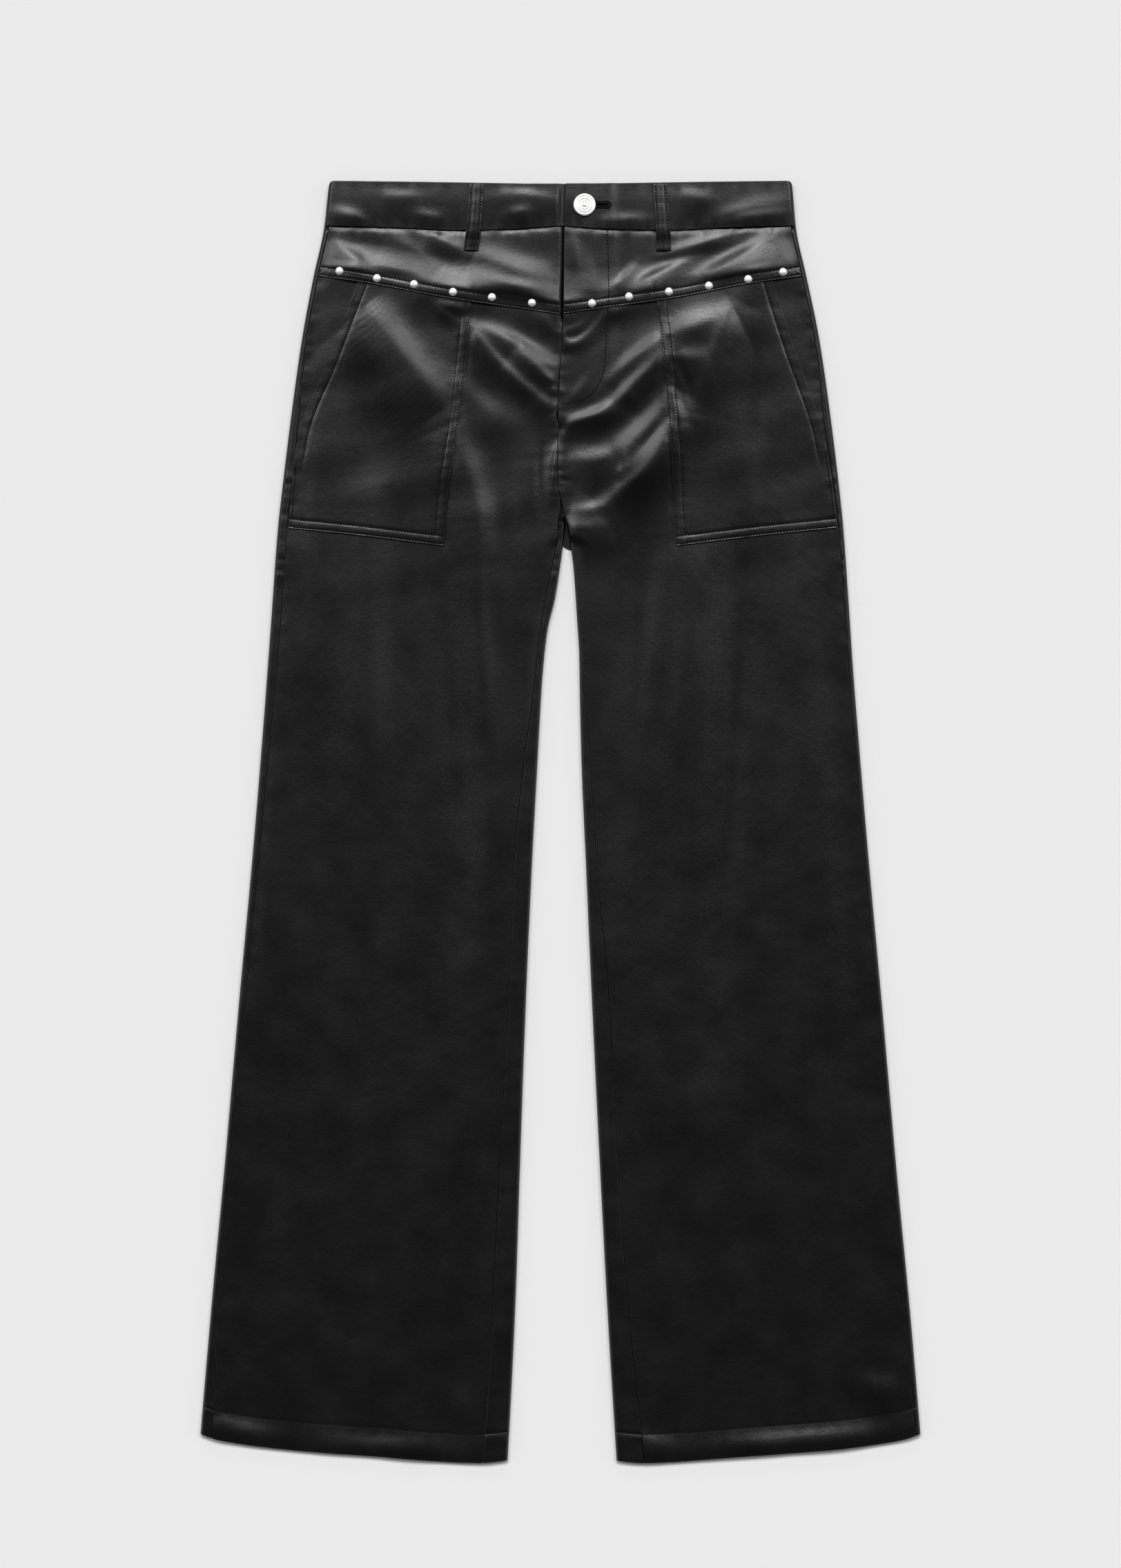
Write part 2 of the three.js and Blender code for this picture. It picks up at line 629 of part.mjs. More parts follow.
// A strap from the waistband's top to its foot on the yoke, bowed off them for the belt
function loopGeometry(half, { top, seam, foot }) {
  const [onBand, onYoke] = [bandRelief(half), yokeRelief(half)];
  const middles = [{ y: LOOP.foot, x: foot }, { y: WAIST, x: seam }, { y: LOOP.top, x: top }];
  const middle = curve(middles, 'y', 'x');
  const under = (x, y) => {
    const share = (y - LOOP.foot) / (LOOP.top - LOOP.foot);
    const rest = mix(2 * ROLL + onYoke(x, y), 2 * BAND_ROLL + onBand(x), ease(y, WAIST - 13, WAIST - 5));
    return rest + SEAM_GAP + LOOP.bow * Math.sin(Math.PI * share);
  };
  const rows = [0, 0.04, 0.09, 0.14, 0.19, 0.25, 0.32, 0.45, 0.6, 0.75, 0.88, 0.96, 1];
  const across = [-0.5, -0.3, 0, 0.3, 0.5];
  const face = (rise) =>
    rows.map((row) => {
      const y = mix(LOOP.foot, LOOP.top, row);
      return across.map((share) => {
        const x = middle(y) + share * LOOP.width;
        return [x, y, under(x, y) + rise * (1 - 0.8 * share * share)];
      });
    });
  return wallGeometry(face(LOOP.wall), face(0));
}

// A solid of revolution about an upright axis, from its radii and heights
function turned(profile, segments) {
  const lathe = new THREE.LatheGeometry(profile.map(([r, z]) => new THREE.Vector2(r, z)), segments);
  lathe.rotateX(Math.PI / 2);
  return facingOut([...lathe.getAttribute('position').array], [...lathe.getIndex().array]);
}

function studGeometry() {
  const { radius, rim, height } = STUD;
  const dome = [0.33, 0.67].map((share) => {
    const angle = (share * Math.PI) / 2;
    return [radius * Math.cos(angle), rim + (height - rim) * Math.sin(angle)];
  });
  return turned([[0, 0], [radius, 0], [radius, rim], ...dome, [0, height]], 12);
}

// Shank and head, with a raised rim and a raised middle
function buttonGeometry(shankHeight) {
  const { radius, thick, shank } = BUTTON;
  const low = shankHeight;
  const top = shankHeight + thick;
  return turned(
    [
      [0, 0],
      [shank, 0],
      [shank, low],
      [radius - 0.6, low],
      [radius, low + 0.7],
      [radius, top - 0.7],
      [radius - 0.7, top],
      [radius - 2, top],
      [radius - 2.8, top - 0.7],
      [radius * 0.4, top - 0.7],
      [radius * 0.3, top - 0.2],
      [0, top],
    ],
    28,
  );
}

function piece(name, geometry, material, place = [0, 0, 0]) {
  const mesh = new THREE.Mesh(geometry, material);
  mesh.name = name;
  mesh.position.set(...place);
  return mesh;
}

function studPiece({ x, y }, i) {
  const half = x < 0 ? RIGHT : LEFT;
  const relief = yokeRelief(half);
  const near = [[0, 0], [1, 0], [-1, 0], [0, 1], [0, -1]];
  const rise = Math.max(...near.map(([dx, dy]) => relief(x + dx * STUD.radius, y + dy * STUD.radius)));
  return piece(`stud_${i + 1}`, studGeometry(), METAL, [x, y, 2 * ROLL + rise + SEAM_GAP]);
}

function buttonPiece() {
  const under = 2 * BAND_ROLL - BAND_SAG - BAND_DIP + SEAM_GAP;
  const over = 2 * BAND_ROLL + BAND_PROUD + SEAM_GAP;
  return piece('button', buttonGeometry(over - under), METAL, [BUTTON.x, BUTTON.y, under]);
}

const trousers = new THREE.Group();
for (const [name, half] of [['right', RIGHT], ['left', LEFT]]) {
  const band = bandGeometry(half);
  trousers.add(
    piece(`back_${name}`, backGeometry(half), LEATHER),
    piece(`front_${name}`, frontGeometry(half), LEATHER),
    piece(`yoke_${name}`, yokeGeometry(half), LEATHER),
    piece(`pocket_${name}`, pocketGeometry(half), LEATHER),
    piece(`waistband_${name}`, half === LEFT ? cutGeometry(band, buttonholeCutter()) : band, LEATHER),
  );
}
for (const loop of FRONT_LOOPS) {
  trousers.add(piece(loop.name, loopGeometry(loop.top < 0 ? RIGHT : LEFT, loop), LEATHER));
}
trousers.add(buttonPiece(), ...STUDS.map(studPiece));

export default trousers;
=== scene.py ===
"""Leather trousers laid flat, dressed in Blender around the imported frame.

Sizes and places are in millimetres in the frame's axes: +X is the wearer's left, +Y the waist and +Z up.
"Out" is a distance from the centre line towards the side seam, on either half.
"""

import math

import bpy
import numpy as np
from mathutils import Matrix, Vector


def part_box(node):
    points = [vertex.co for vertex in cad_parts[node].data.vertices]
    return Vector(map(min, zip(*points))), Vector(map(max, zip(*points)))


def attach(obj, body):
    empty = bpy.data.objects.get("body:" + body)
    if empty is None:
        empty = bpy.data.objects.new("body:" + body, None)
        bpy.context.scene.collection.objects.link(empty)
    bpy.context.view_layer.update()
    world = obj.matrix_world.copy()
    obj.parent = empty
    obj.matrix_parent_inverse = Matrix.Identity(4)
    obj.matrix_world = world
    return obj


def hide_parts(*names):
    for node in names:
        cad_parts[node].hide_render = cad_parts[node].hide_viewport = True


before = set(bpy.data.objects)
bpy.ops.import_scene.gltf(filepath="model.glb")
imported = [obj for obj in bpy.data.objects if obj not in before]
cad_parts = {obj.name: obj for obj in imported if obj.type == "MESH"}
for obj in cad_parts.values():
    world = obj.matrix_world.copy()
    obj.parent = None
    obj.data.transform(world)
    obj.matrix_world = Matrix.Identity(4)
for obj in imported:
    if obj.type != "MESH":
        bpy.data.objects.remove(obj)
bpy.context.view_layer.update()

MM = 0.001

# The photograph and the camera over it
PHOTO_HEIGHT = 2272  # in pixels
PHOTO_SCALE = 0.575  # millimetres a pixel
PHOTO_CENTRE_Y = 31.6  # level of the photograph's middle
CAMERA_HEIGHT = 3200
SENSOR = 36
FLOOR_HALF = 6000  # half the floor's side
FLOOR_DROP = 0.15  # of the floor below the cloth

# Cloth and construction, as in the part
WALL = 1.2
BAND_WALL = 2.4
SEAM_GAP = 0.3
LAP_RISE = WALL + SEAM_GAP
POCKET_RISE = LAP_RISE + 0.2
ROLL = 3.0
BAND_ROLL = 3.5
HEM_DEPTH = 24
HEM_FOLD = 1.0
YOKE_LAP = 9
FLY_WIDTH = 36
FLY_END = 347
FLY_STEP = 1.3
UNDER_DIP = 1.9
UNDER_REACH = 10
BAND_SAG = 0.4
BAND_PROUD = 0.8
BAND_DIP = 1.5
UNDERLAP = 33
STUD = {"radius": 3.5, "rim": 0.5, "height": 1.8}
BUTTON = {"x": 20, "y": 512.9, "radius": 9.4, "thick": 2.4, "shank": 2.4}
BUTTONHOLE = {"end": 40, "half_width": 0.8, "eye": 3.1, "stitched": 2.6, "inside": 0.45}
LOOP = {"width": 12.2, "wall": 2.0, "bow": 0.8, "top": 530.4, "foot": 475, "cut": 58}

# Sewing
STITCH_PITCH = 2.5
STITCH_LENGTH = 1.8
THREAD = 0.5  # radius
EDGE_ROUND = 0.4  # radius of a panel's turned edge
STITCH_INSET = 1.2  # first row of stitches from an edge
STITCH_ROWS = (STITCH_INSET, STITCH_INSET + 6.4)  # both rows of a double seam, from its edge
STITCH_SINK = 0.3  # of a row below the face beside it
LOOP_ROW = 1.7  # a belt loop's rows from its sides
HOLE_PITCH = 0.62  # round the buttonhole
HOLE_THREAD = 0.36  # radius
HOLE_LIFT = 0.28
# Where rows start and end: distances out along a seam, levels down a side
YOKE_ROW = {"right": -1, "left": 4, "end": 196}
HEM_ROW = (68, 288)
POCKET_FOOT_ROW = (98, 226)
POCKET_INNER_TOP = 429
MOUTH_ROW = {"top": 446, "turn": 300, "end": 250, "inset": 8, "end_inset": 2}

# Distances from an edge or seam where the grids have lines, closest where the cloth bends most
EDGE_SPREAD = np.array([0, 0.12, 0.3, 0.55, 0.9, 1.4, 2.2, 3.4, 5])
BACK_SPREAD = np.array([0, 0.02, 0.05, 0.09, 0.15, *np.linspace(0.2, 1, 13)])
YOKE_SPREAD = [0, 0.12, 0.3, 0.55, 0.85, 1.2, 1.6, 2.2, 3, 4, 5]
YOKE_SPREAD += [6, 6.8, 7.3, 7.6, 8, 8.6, 9.4, 10.5, 12, 14, 16]  # past the second row
POCKET_SPREAD = np.array([0, 0.12, 0.3, 0.55, 0.85, 1.2, 1.6, 2.2, 3.4, 5, 6.4, 7.1, 7.6, 8.1, 9, 11])
BAND_SPREAD = [0, 0.12, 0.3, 0.55, 0.85, 1.2, 1.6, 2.2, 3.2, 4.6, 6.2]
LOOP_SIDES = np.array([0, 0.1, 0.25, 0.5, 0.8, 1.2, 1.6, 2, 2.6, 3.6, 4.8])
LOOP_ENDS = np.array([0, 0.1, 0.25, 0.5, 0.8, 1.2, 1.8, 2.6, 3.4, 4.2, 5])
HEM_RISES = [0, 0.12, 0.3, 0.55, 0.9, 1.4, 2.2, 4, 7, 11, 15, 18.5, 21, 22.5, 23.4, 24, 24.6, 25.5, 27, 30]

# The outline by level, as in the part: columns y, rim, side
RIGHT_RIM = [
    (533.3, 190, 4),
    (532.4, 191.5, 4),
    (530.6, 192.5, 4),
    (527, 193.1, 4),
    (493, 197, 4),
    (455, 205.3, 4),
    (403, 215, 4.2),
    (343, 223.5, 6.7),
    (268, 232.7, 8),
    (246, 235.1, 7.9),
    (160, 241.4, 8.2),
    (52, 249.6, 6.6),
    (-38, 257.2, 5.7),
    (-141, 266.8, 5.4),
    (-293, 280.2, 4.6),
    (-383, 288.7, 4.6),
    (-440, 293.8, 8),
    (-533, 301.6, 10.2),
]
LEFT_RIM = [
    (533.3, 190.2, 4),
    (532.4, 191.6, 4),
    (530.6, 192.6, 4),
    (527, 193.1, 4),
    (493, 196.2, 4),
    (455, 204.5, 4),
    (403, 215.2, 4.2),
    (331, 225.6, 6.4),
    (269, 233, 4.6),
    (244, 235.5, 4.4),
    (167, 240.9, 4),
    (139, 242.7, 4),
    (52, 249.5, 4),
    (-42, 257.5, 4.1),
    (-152, 267.6, 4),
    (-293, 280, 4),
    (-408, 291, 4.2),
    (-533, 301.6, 4.7),
]
# Columns y, fork, inseam
RIGHT_FORK = [
    (268, -3.2, 3),
    (257, -4, 4.8),
    (246, -4, 6.4),
    (235, -2.6, 4.8),
    (213, 0.3, 6.6),
    (186, 4.6, 7.5),
    (160, 10.8, 5.6),
    (122, 14.9, 6),
    (52, 19, 11),
    (-38, 23.8, 14.8),
    (-141, 28.4, 14.2),
    (-293, 33.9, 17.6),
    (-383, 36.8, 18.8),
    (-440, 39.2, 19.2),
    (-533, 44, 21),
]
LEFT_FORK = [
    (269, -2.8, 3),
    (257, 1.2, 1.8),
    (244, 5.8, 0.4),
    (232, 8, 0),
    (213, 10.6, 0),
    (167, 13.8, 0),
    (139, 15.5, 0),
    (107, 16, 3.6),
    (52, 17.3, 6.9),
    (-42, 21.4, 9.2),
    (-152, 26.2, 14.7),
    (-293, 33, 15),
    (-408, 39.1, 17.8),
    (-533, 46.6, 23.6),
]
# Columns y, x or out
CENTRE_FRONT = [(533, 4.6), (493, 3), (421, 2.3), (347, -1.8), (283, -2.5), (268, 0.2)]
RIGHT_BACK_EDGE = [(533, 0), (300, -0.8), (262, -1.2), (250, -1)]
LEFT_BACK_EDGE = [
    (533, 0),
    (300, 0.5),
    (261, 0.9),
    (258, 1),
    (256.8, 1.4),
    (255.5, 2),
    (254, 2.7),
    (251, 3.6),
    (246, 3.6),
    (238, 2.8),
    (229, 2.1),
    (226, 11.8),
]
# Columns out, y
BAND_TOP = [(30, 531), (120, 532.5), (188, 533.3)]
BAND_SEAM = [(0, 495.4), (40, 492.8), (85, 491.9), (145, 494.2), (196, 495.5)]
YOKE_EDGE = [(-3, 421.4), (34, 427), (95, 435.5), (150, 446), (206, 454.6)]
HEM = [(43, -531), (68, -533.3), (155, -527.8), (230, -522), (283, -514.5), (302, -508.4)]
POCKET_FOOT = [(96, 229.5), (160, 237.4), (230, 244.6)]
# Columns y, outer, inner
RIGHT_POCKET = [
    (460, 164, 72.6),
    (433, 174.5, 74.2),
    (378, 195.6, 79.4),
    (329, 216, 85.2),
    (303, 221.4, 89.3),
    (282, 223.2, 92.6),
    (231, 227, 97.4),
]
LEFT_POCKET = [
    (460, 173.5, 78.4),
    (435, 181, 79.9),
    (390, 195.5, 85.2),
    (331, 216.3, 90.1),
    (303, 222.6, 92.4),
    (264, 228.2, 94.3),
    (231, 230.6, 96.3),
]

# Folds and creases, one a row: a bent line from start past middle to end, half width and height.
# The line runs where a fold is steepest towards the waist. Troughs have a negative height and lie on it.
FRONT_FOLDS = [
    # From the fly towards the pocket on the wearer's right
    ((-70, 416), (-38, 405), (-3, 385), 7, 1.9),
    ((-36, 397), (-18, 384), (-3, 366), 8.5, 2.8),
    ((-71, 411), (-47, 376), (-3, 345), 5.5, 2.0),
    ((-14, 386), (-8, 382), (-1, 377), 2, 0.45),
    ((-12, 374), (-7, 368), (-1, 366), 2, 0.45),
    ((-10, 363), (-6, 360), (-1, 360), 2, 0.5),
    ((-16, 426), (-10, 416), (-3, 408), 3.5, 0.6),
    ((-90, 376), (-70, 354), (-45, 338), 10, 1.2),
    ((-84, 334), (-64, 290), (-52, 215), 15, 3.0),
    ((-40, 300), (-36, 262), (-40, 210), 14, 1.0),
    ((-2, 319), (-9, 300), (-8, 266), 2.6, 1.2),
    ((-14, 318), (-17, 300), (-16, 262), 5, -0.9),
    # The pocket on the wearer's right
    ((-156, 434), (-126, 400), (-90, 348), 17, 4.1),
    ((-104, 433), (-92, 431), (-80, 429), 3.5, 0.9),
    ((-101, 428), (-94, 422), (-84, 416), 3, 0.7),
    ((-170, 400), (-160, 350), (-148, 280), 14, -1.2),
    ((-96, 262), (-90, 130), (-76, -90), 15, -2.4),
    ((-64, 250), (-62, 180), (-58, 60), 11, 2.2),
    ((-152, 262), (-150, 160), (-148, -20), 17, 2.0),
    ((-202, 380), (-212, 280), (-214, 120), 12, 1.0),
    # Round the fly on the wearer's left
    ((2, 411), (6, 383.5), (38, 426), 3, 1.1),
    ((3, 412), (10, 408), (22, 420), 2.5, 0.5),
    ((40, 424), (48, 428), (58, 431), 3, 0.5),
    ((6, 352), (13, 358), (24, 376), 4, 0.6),
    ((34, 364), (54, 388), (84, 406), 7, 2.1),
    ((2, 336), (30, 337), (48, 356), 6.5, 2.5),
    ((44, 350), (57, 368), (86, 392), 8, 3.0),
    ((2, 314), (1, 334), (16, 337), 3.5, 1.0),
    ((42, 313), (66, 324), (90, 364), 12, 3.6),
    ((90, 338), (76, 322), (62, 306), 3, -0.5),
    ((90, 336), (78, 292), (28, 266), 9, 3.3),
    ((84, 326), (66, 302), (44, 292), 9, 1.9),
    ((44, 268), (28, 262), (8, 262), 6, 1.2),
    ((4, 308), (24, 304), (46, 310), 11, 2.1),
    ((4, 252), (18, 247), (42, 253), 10, 2.3),
    ((56, 318), (50, 300), (46, 282), 5, 0.9),
    ((14, 276), (8, 262), (12, 240), 5, 0.9),
    ((-1, 284.5), (4, 284.5), (9, 283), 1.5, -0.5),
    # The pocket and the leg on the wearer's left
    ((84, 412), (110, 419), (140, 434), 16, 3.9),
    ((142, 436), (122, 398), (110, 340), 11, 2.4),
    ((88, 392), (104, 387), (122, 393), 9, 1.9),
    ((97, 388), (103, 370), (110, 348), 3, -0.6),
    ((91, 368), (97, 350), (104, 330), 4, 0.9),
    ((164, 420), (158, 350), (150, 250), 14, -1.2),
    ((74, 240), (66, 170), (58, 60), 12, -1.5),
    ((104, 240), (98, 150), (84, -20), 14, 1.9),
    ((150, 240), (146, 100), (120, -200), 15, -2.2),
    ((198, 230), (194, 60), (170, -200), 17, 1.6),
    ((222, 200), (232, 20), (252, -240), 12, -0.7),
    # Near the hems
    ((-282, -388), (-275, -396), (-262, -398), 6, -0.6),
    ((-286, -494), (-268, -502), (-240, -506), 7, 1.2),
    ((-190, -512), (-152, -517), (-112, -515), 7, 1.1),
    ((-84, -472), (-76, -484), (-72, -503), 8, 0.8),
    ((60, -508), (76, -514), (98, -513), 7, 1.1),
    ((134, -513), (200, -511), (262, -502), 8, 1.9),
    ((252, -462), (266, -466), (282, -466), 7, 1.5),
]
YOKE_FOLDS = [
    ((-190, 486), (-172, 474), (-158, 462), 6, 1.0),
    ((-142, 492), (-118, 480), (-98, 462), 8, 1.1),
    ((-114, 492), (-97, 488), (-80, 477), 6, 1.5),
    ((-70, 478), (-36, 464), (-4, 458), 12, 2.9),
    ((-60, 454), (-32, 447), (-4, 443), 6, 1.0),
    ((42, 446), (52, 454), (62, 466), 4, 0.9),
    ((60, 447), (84, 462), (110, 470), 5, 1.4),
    ((84, 474), (112, 484), (146, 492), 6, 1.6),
    ((116, 456), (146, 472), (178, 492), 8, 2.3),
    ((178, 490), (188, 480), (194, 466), 6, 0.6),
    ((12, 488), (17, 474), (14, 458), 5, 0.9),
    ((24, 470), (30, 452), (28, 438), 5, 0.7),
]
BAND_FOLDS = [
    ((-190, 510), (-176, 509), (-161, 503), 6.5, 1.35),
    ((-150, 524), (-134, 522), (-116, 523), 5, 0.6),
    ((-122, 508), (-110, 507), (-97, 504), 5, 0.75),
    ((-52, 524), (-30, 526), (-8, 521), 5, 0.7),
    ((-44, 507), (-34, 512), (-23, 511), 6, 1.05),
    ((30, 502), (50, 505), (74, 503), 5.5, 0.95),
    ((98, 524), (112, 525), (126, 520), 6, 0.75),
    ((124, 503), (146, 515), (188, 519), 7.5, 1.0),
    ((140, 502), (160, 507), (188, 509), 5, 0.8),
]
FOLD_GAIN = 1.15  # all the folds' heights at once
FOLD_LINE = 0.7  # from a fold's crest to its line, in half widths
FOLD_BACK = 2.2  # width of a fold's far side, in half widths
FOLD_END = 1.5  # how far a fold runs out past its ends, in half widths
FOLD_REACH = 2.6  # where a fold has died away, in half widths

# How far the yoke's seam lifts the cloth: columns x, height
SEAM_RIDGE = [
    (-200, 0.4),
    (-150, 0.6),
    (-110, 1.1),
    (-40, 1.0),
    (-8, 0.8),
    (8, 0.6),
    (45, 1.2),
    (80, 0.9),
    (120, 0.4),
    (160, 0.9),
    (200, 0.5),
]
RIDGE_WIDTH = 13

# Columns x, y
STUDS = [
    (-183.6, 457.7),
    (-152.5, 451.8),
    (-121.7, 446.8),
    (-89.3, 440.2),
    (-57, 436.1),
    (-23.7, 431.5),
    (26.1, 431),
    (56.9, 436.7),
    (90, 440.6),
    (123.2, 445.6),
    (155.8, 450.8),
    (184.8, 456.9),
]
# The fly's stitching, down from the waistband and round to the fly's end
FLY_STITCHES = [
    (39.1, 492),
    (40, 443),
    (38.5, 414),
    (37, 382),
    (33.4, 367),
    (25.3, 355.4),
    (15, 349.6),
    (0.4, 347.3),
]
# Columns top, seam, foot: the loops' middles
FRONT_LOOPS = {"belt_loop_right": (-69.6, -72, -74.4), "belt_loop_left": (82.9, 85, 85.8)}


def ease(value, start, end):
    """Smooth step from 0 at start to 1 at end, which may lie either way round."""
    t = np.clip((value - start) / (end - start), 0, 1)
    return t * t * (3 - 2 * t)


def mix(a, b, t):
    return a + (b - a) * t


def curve(rows, column=1):
    """One column of a table as a smooth function of its first one, level beyond the ends."""
    table = sorted((row[0], row[column]) for row in rows)
    at = np.array([row[0] for row in table], float)
    value = np.array([row[1] for row in table], float)
    rate = np.diff(value) / np.diff(at)
    slope = np.concatenate([rate[:1], np.zeros(len(rate) - 1), rate[-1:]])
    for i in range(1, len(rate)):
        if rate[i - 1] * rate[i] > 0:
            slope[i] = 2 * rate[i - 1] * rate[i] / (rate[i - 1] + rate[i])

    def read(key):
        key = np.clip(np.asarray(key, float), at[0], at[-1])
        i = np.clip(np.searchsorted(at, key, side="right") - 1, 0, len(rate) - 1)
        width = at[i + 1] - at[i]
        t = (key - at[i]) / width
        straight = mix(value[i], value[i + 1], t * t * (3 - 2 * t))
        return straight + width * (slope[i] * t * (1 - t) ** 2 - slope[i + 1] * t * t * (1 - t))

    return read


centre_front = curve(CENTRE_FRONT)
band_top = curve(BAND_TOP)
band_seam = curve(BAND_SEAM)
yoke_edge = curve(YOKE_EDGE)
hem = curve(HEM)
pocket_foot = curve(POCKET_FOOT)
ridge_height = curve(SEAM_RIDGE)
WAIST = BAND_SEAM[0][1]


class Half:
    """The wearer's right half (side -1) or left half (side 1)."""

    def __init__(self, name, side, rim, fork, pocket, back_edge, crotch, curl):
        self.name = name
        self.side = side
        self.crotch = crotch
        self.curl = curl
        self.rim = curve(rim, 1)
        self.strip = curve(rim, 2)
        self.fork = curve(fork, 1)
        self.inseam = curve(fork, 2)
        self.pocket_outer = curve(pocket, 1)
        self.pocket_inner = curve(pocket, 2)
        self.back_edge = curve(back_edge)
        self.edge_end = back_edge[-1][0]


RIGHT = Half("right", -1, RIGHT_RIM, RIGHT_FORK, RIGHT_POCKET, RIGHT_BACK_EDGE, 268, (258, 246))
LEFT = Half("left", 1, LEFT_RIM, LEFT_FORK, LEFT_POCKET, LEFT_BACK_EDGE, 269, (228, 218))


def walk(start, parts, distance):
    """Place and heading at a distance along straight and bent parts (length, radius), turning clockwise.

    The last part runs on as far as it is asked for."""
    out, z, heading = (np.broadcast_to(np.asarray(v, float), distance.shape).copy() for v in start)
    left = distance.copy()
    for i, (length, radius) in enumerate(parts):
        go = np.minimum(left, length) if i < len(parts) - 1 else left
        left = left - go
        if radius:
            turned = heading - go / radius
            out += radius * (np.sin(heading) - np.sin(turned))
            z += radius * (np.cos(turned) - np.cos(heading))
            heading = turned
        else:
            out += go * np.cos(heading)
            z += go * np.sin(heading)
    return out, z, heading


def turn_to(strip):
    """How far cloth round an inner edge has turned where it reaches a seam this far from it."""
    return math.pi - np.arcsin(np.clip(1 - strip / ROLL, 0, 1))


class FrontPath:
    """A front's section at level y, from its inner edge over the top to the side seam."""

    def __init__(self, half, y):
        self.end = half.rim(y) - half.strip(y)
        above = y > half.crotch
        reach = UNDER_REACH * ease(y, FLY_END - 7, FLY_END + 5) if half is RIGHT else 0
        inseam = half.inseam(y)
        turned = np.where(above, math.pi, turn_to(inseam))
        centre = half.side * centre_front(y) - reach
        flat_start = np.where(above, centre, half.fork(y) + np.maximum(ROLL, inseam))
        self.bend = ROLL * (math.pi - turned)
        self.start = (
            flat_start - ROLL * np.sin(turned),
            ROLL - ROLL * np.cos(turned),
            math.pi - turned,
        )
        self.parts = [(self.bend, ROLL), (self.end - flat_start, None)]
        self.length = self.bend + self.end - flat_start

    def along(self, out):
        return self.length - (self.end - out)

    def at(self, distance):
        return walk(self.start, self.parts, distance)


class BackPath:
    """A back's section at level y, from the side seam round underneath to its inner edge."""

    def __init__(self, half, y):
        strip = half.strip(y) - ROLL
        curl = ease(y, *half.curl)
        inseam = half.inseam(y)
        turned = curl * turn_to(inseam)
        flap = ease(curl, 0.5, 1) * np.maximum(0, inseam - ROLL)
        inner = np.where(y > half.edge_end, half.back_edge(y), half.fork(y) + ROLL)
        flat = half.rim(y) - ROLL - inner
        self.start = (half.rim(y) - half.strip(y), 2 * ROLL, 0)
        self.parts = [
            (strip, None),
            (math.pi * ROLL, ROLL),
            (flat, None),
            (ROLL * turned, ROLL),
            (flap, None),
        ]
        self.outer = strip + math.pi * ROLL
        self.inner = ROLL * turned + flap
        self.length = self.outer + flat + self.inner

    def at(self, distance):
        return walk(self.start, self.parts, distance)


class BandPath:
    """The waistband's section at level y, from its front end round the side to centre back."""

    def __init__(self, half, y):
        self.first = half.side * centre_front(y) - (UNDERLAP if half is RIGHT else 0)
        self.edge = half.rim(y) - BAND_ROLL
        self.start = (self.first, 2 * BAND_ROLL, 0)
        self.parts = [
            (self.edge - self.first, None),
            (math.pi * BAND_ROLL, BAND_ROLL),
            (self.edge - half.back_edge(y), None),
        ]
        self.length = sum(length for length, _ in self.parts)

    def at(self, distance):
        return walk(self.start, self.parts, distance)


def fold_height(fold, x, y):
    """A fold's height at (x, y): steep on the waist's side, gentle on the other, fading at its ends."""
    start, middle, end, width, height = fold
    trough = height < 0
    reach = FOLD_REACH * width * (1 if trough else FOLD_BACK)
    xs, ys = zip(start, middle, end)
    near_x = (x > min(xs) - reach) & (x < max(xs) + reach)
    near_y = (y > min(ys) - reach) & (y < max(ys) + reach)
    near = near_x & near_y
    result = np.zeros(x.shape)
    if not near.any():
        return result
    px, py = x[near], y[near]

    def line_at(t):
        return (mix(mix(a, b, t), mix(b, c, t), t) for a, b, c in (xs, ys))

    nearest = np.full(px.shape, np.inf)
    along = np.zeros(px.shape)
    for t in np.linspace(0, 1, 61):
        qx, qy = line_at(t)
        distance = np.hypot(px - qx, py - qy)
        closer = distance < nearest
        nearest[closer] = distance[closer]
        along[closer] = t
    qx, qy = line_at(along)
    ahead_x, ahead_y = (mix(b - a, c - b, along) for a, b, c in (xs, ys))
    size = np.hypot(ahead_x, ahead_y)
    ahead = ((px - qx) * ahead_x + (py - qy) * ahead_y) / size
    aside = ((py - qy) * ahead_x - (px - qx) * ahead_y) / size * (1 if xs[2] > xs[0] else -1)
    beyond = np.where(along == 0, np.minimum(ahead, 0), np.where(along == 1, np.maximum(ahead, 0), 0))
    if not trough:
        aside = aside + FOLD_LINE * width
    spread = width * np.where(aside > 0, 1, 1 if trough else FOLD_BACK)
    ends = np.sin(math.pi * mix(0.06, 0.94, along)) ** 0.7
    result[near] = height * ends * np.exp(-((aside / spread) ** 2) - (beyond / (FOLD_END * width)) ** 2)
    return result


def folds_height(folds, x, y):
    return FOLD_GAIN * sum(fold_height(fold, x, y) for fold in folds)


def seam_ridge(half, x, y):
    """The thick seam between yoke and front lifts the cloth on both sides of it, more in places."""
    above = y - yoke_edge(half.side * x) - 3
    return ridge_height(x) * np.exp(-((above / RIDGE_WIDTH) ** 2))


def wander(t, wavelength, seed):
    """A smooth uneven wave between about -1 and 1 along a line."""
    parts = [(1, 0.5), (1.73, 0.3), (2.61, 0.2)]
    return sum(
        share * np.sin(2 * math.pi * t * rate / wavelength + seed * (3.1 + rate)) for rate, share in parts
    )


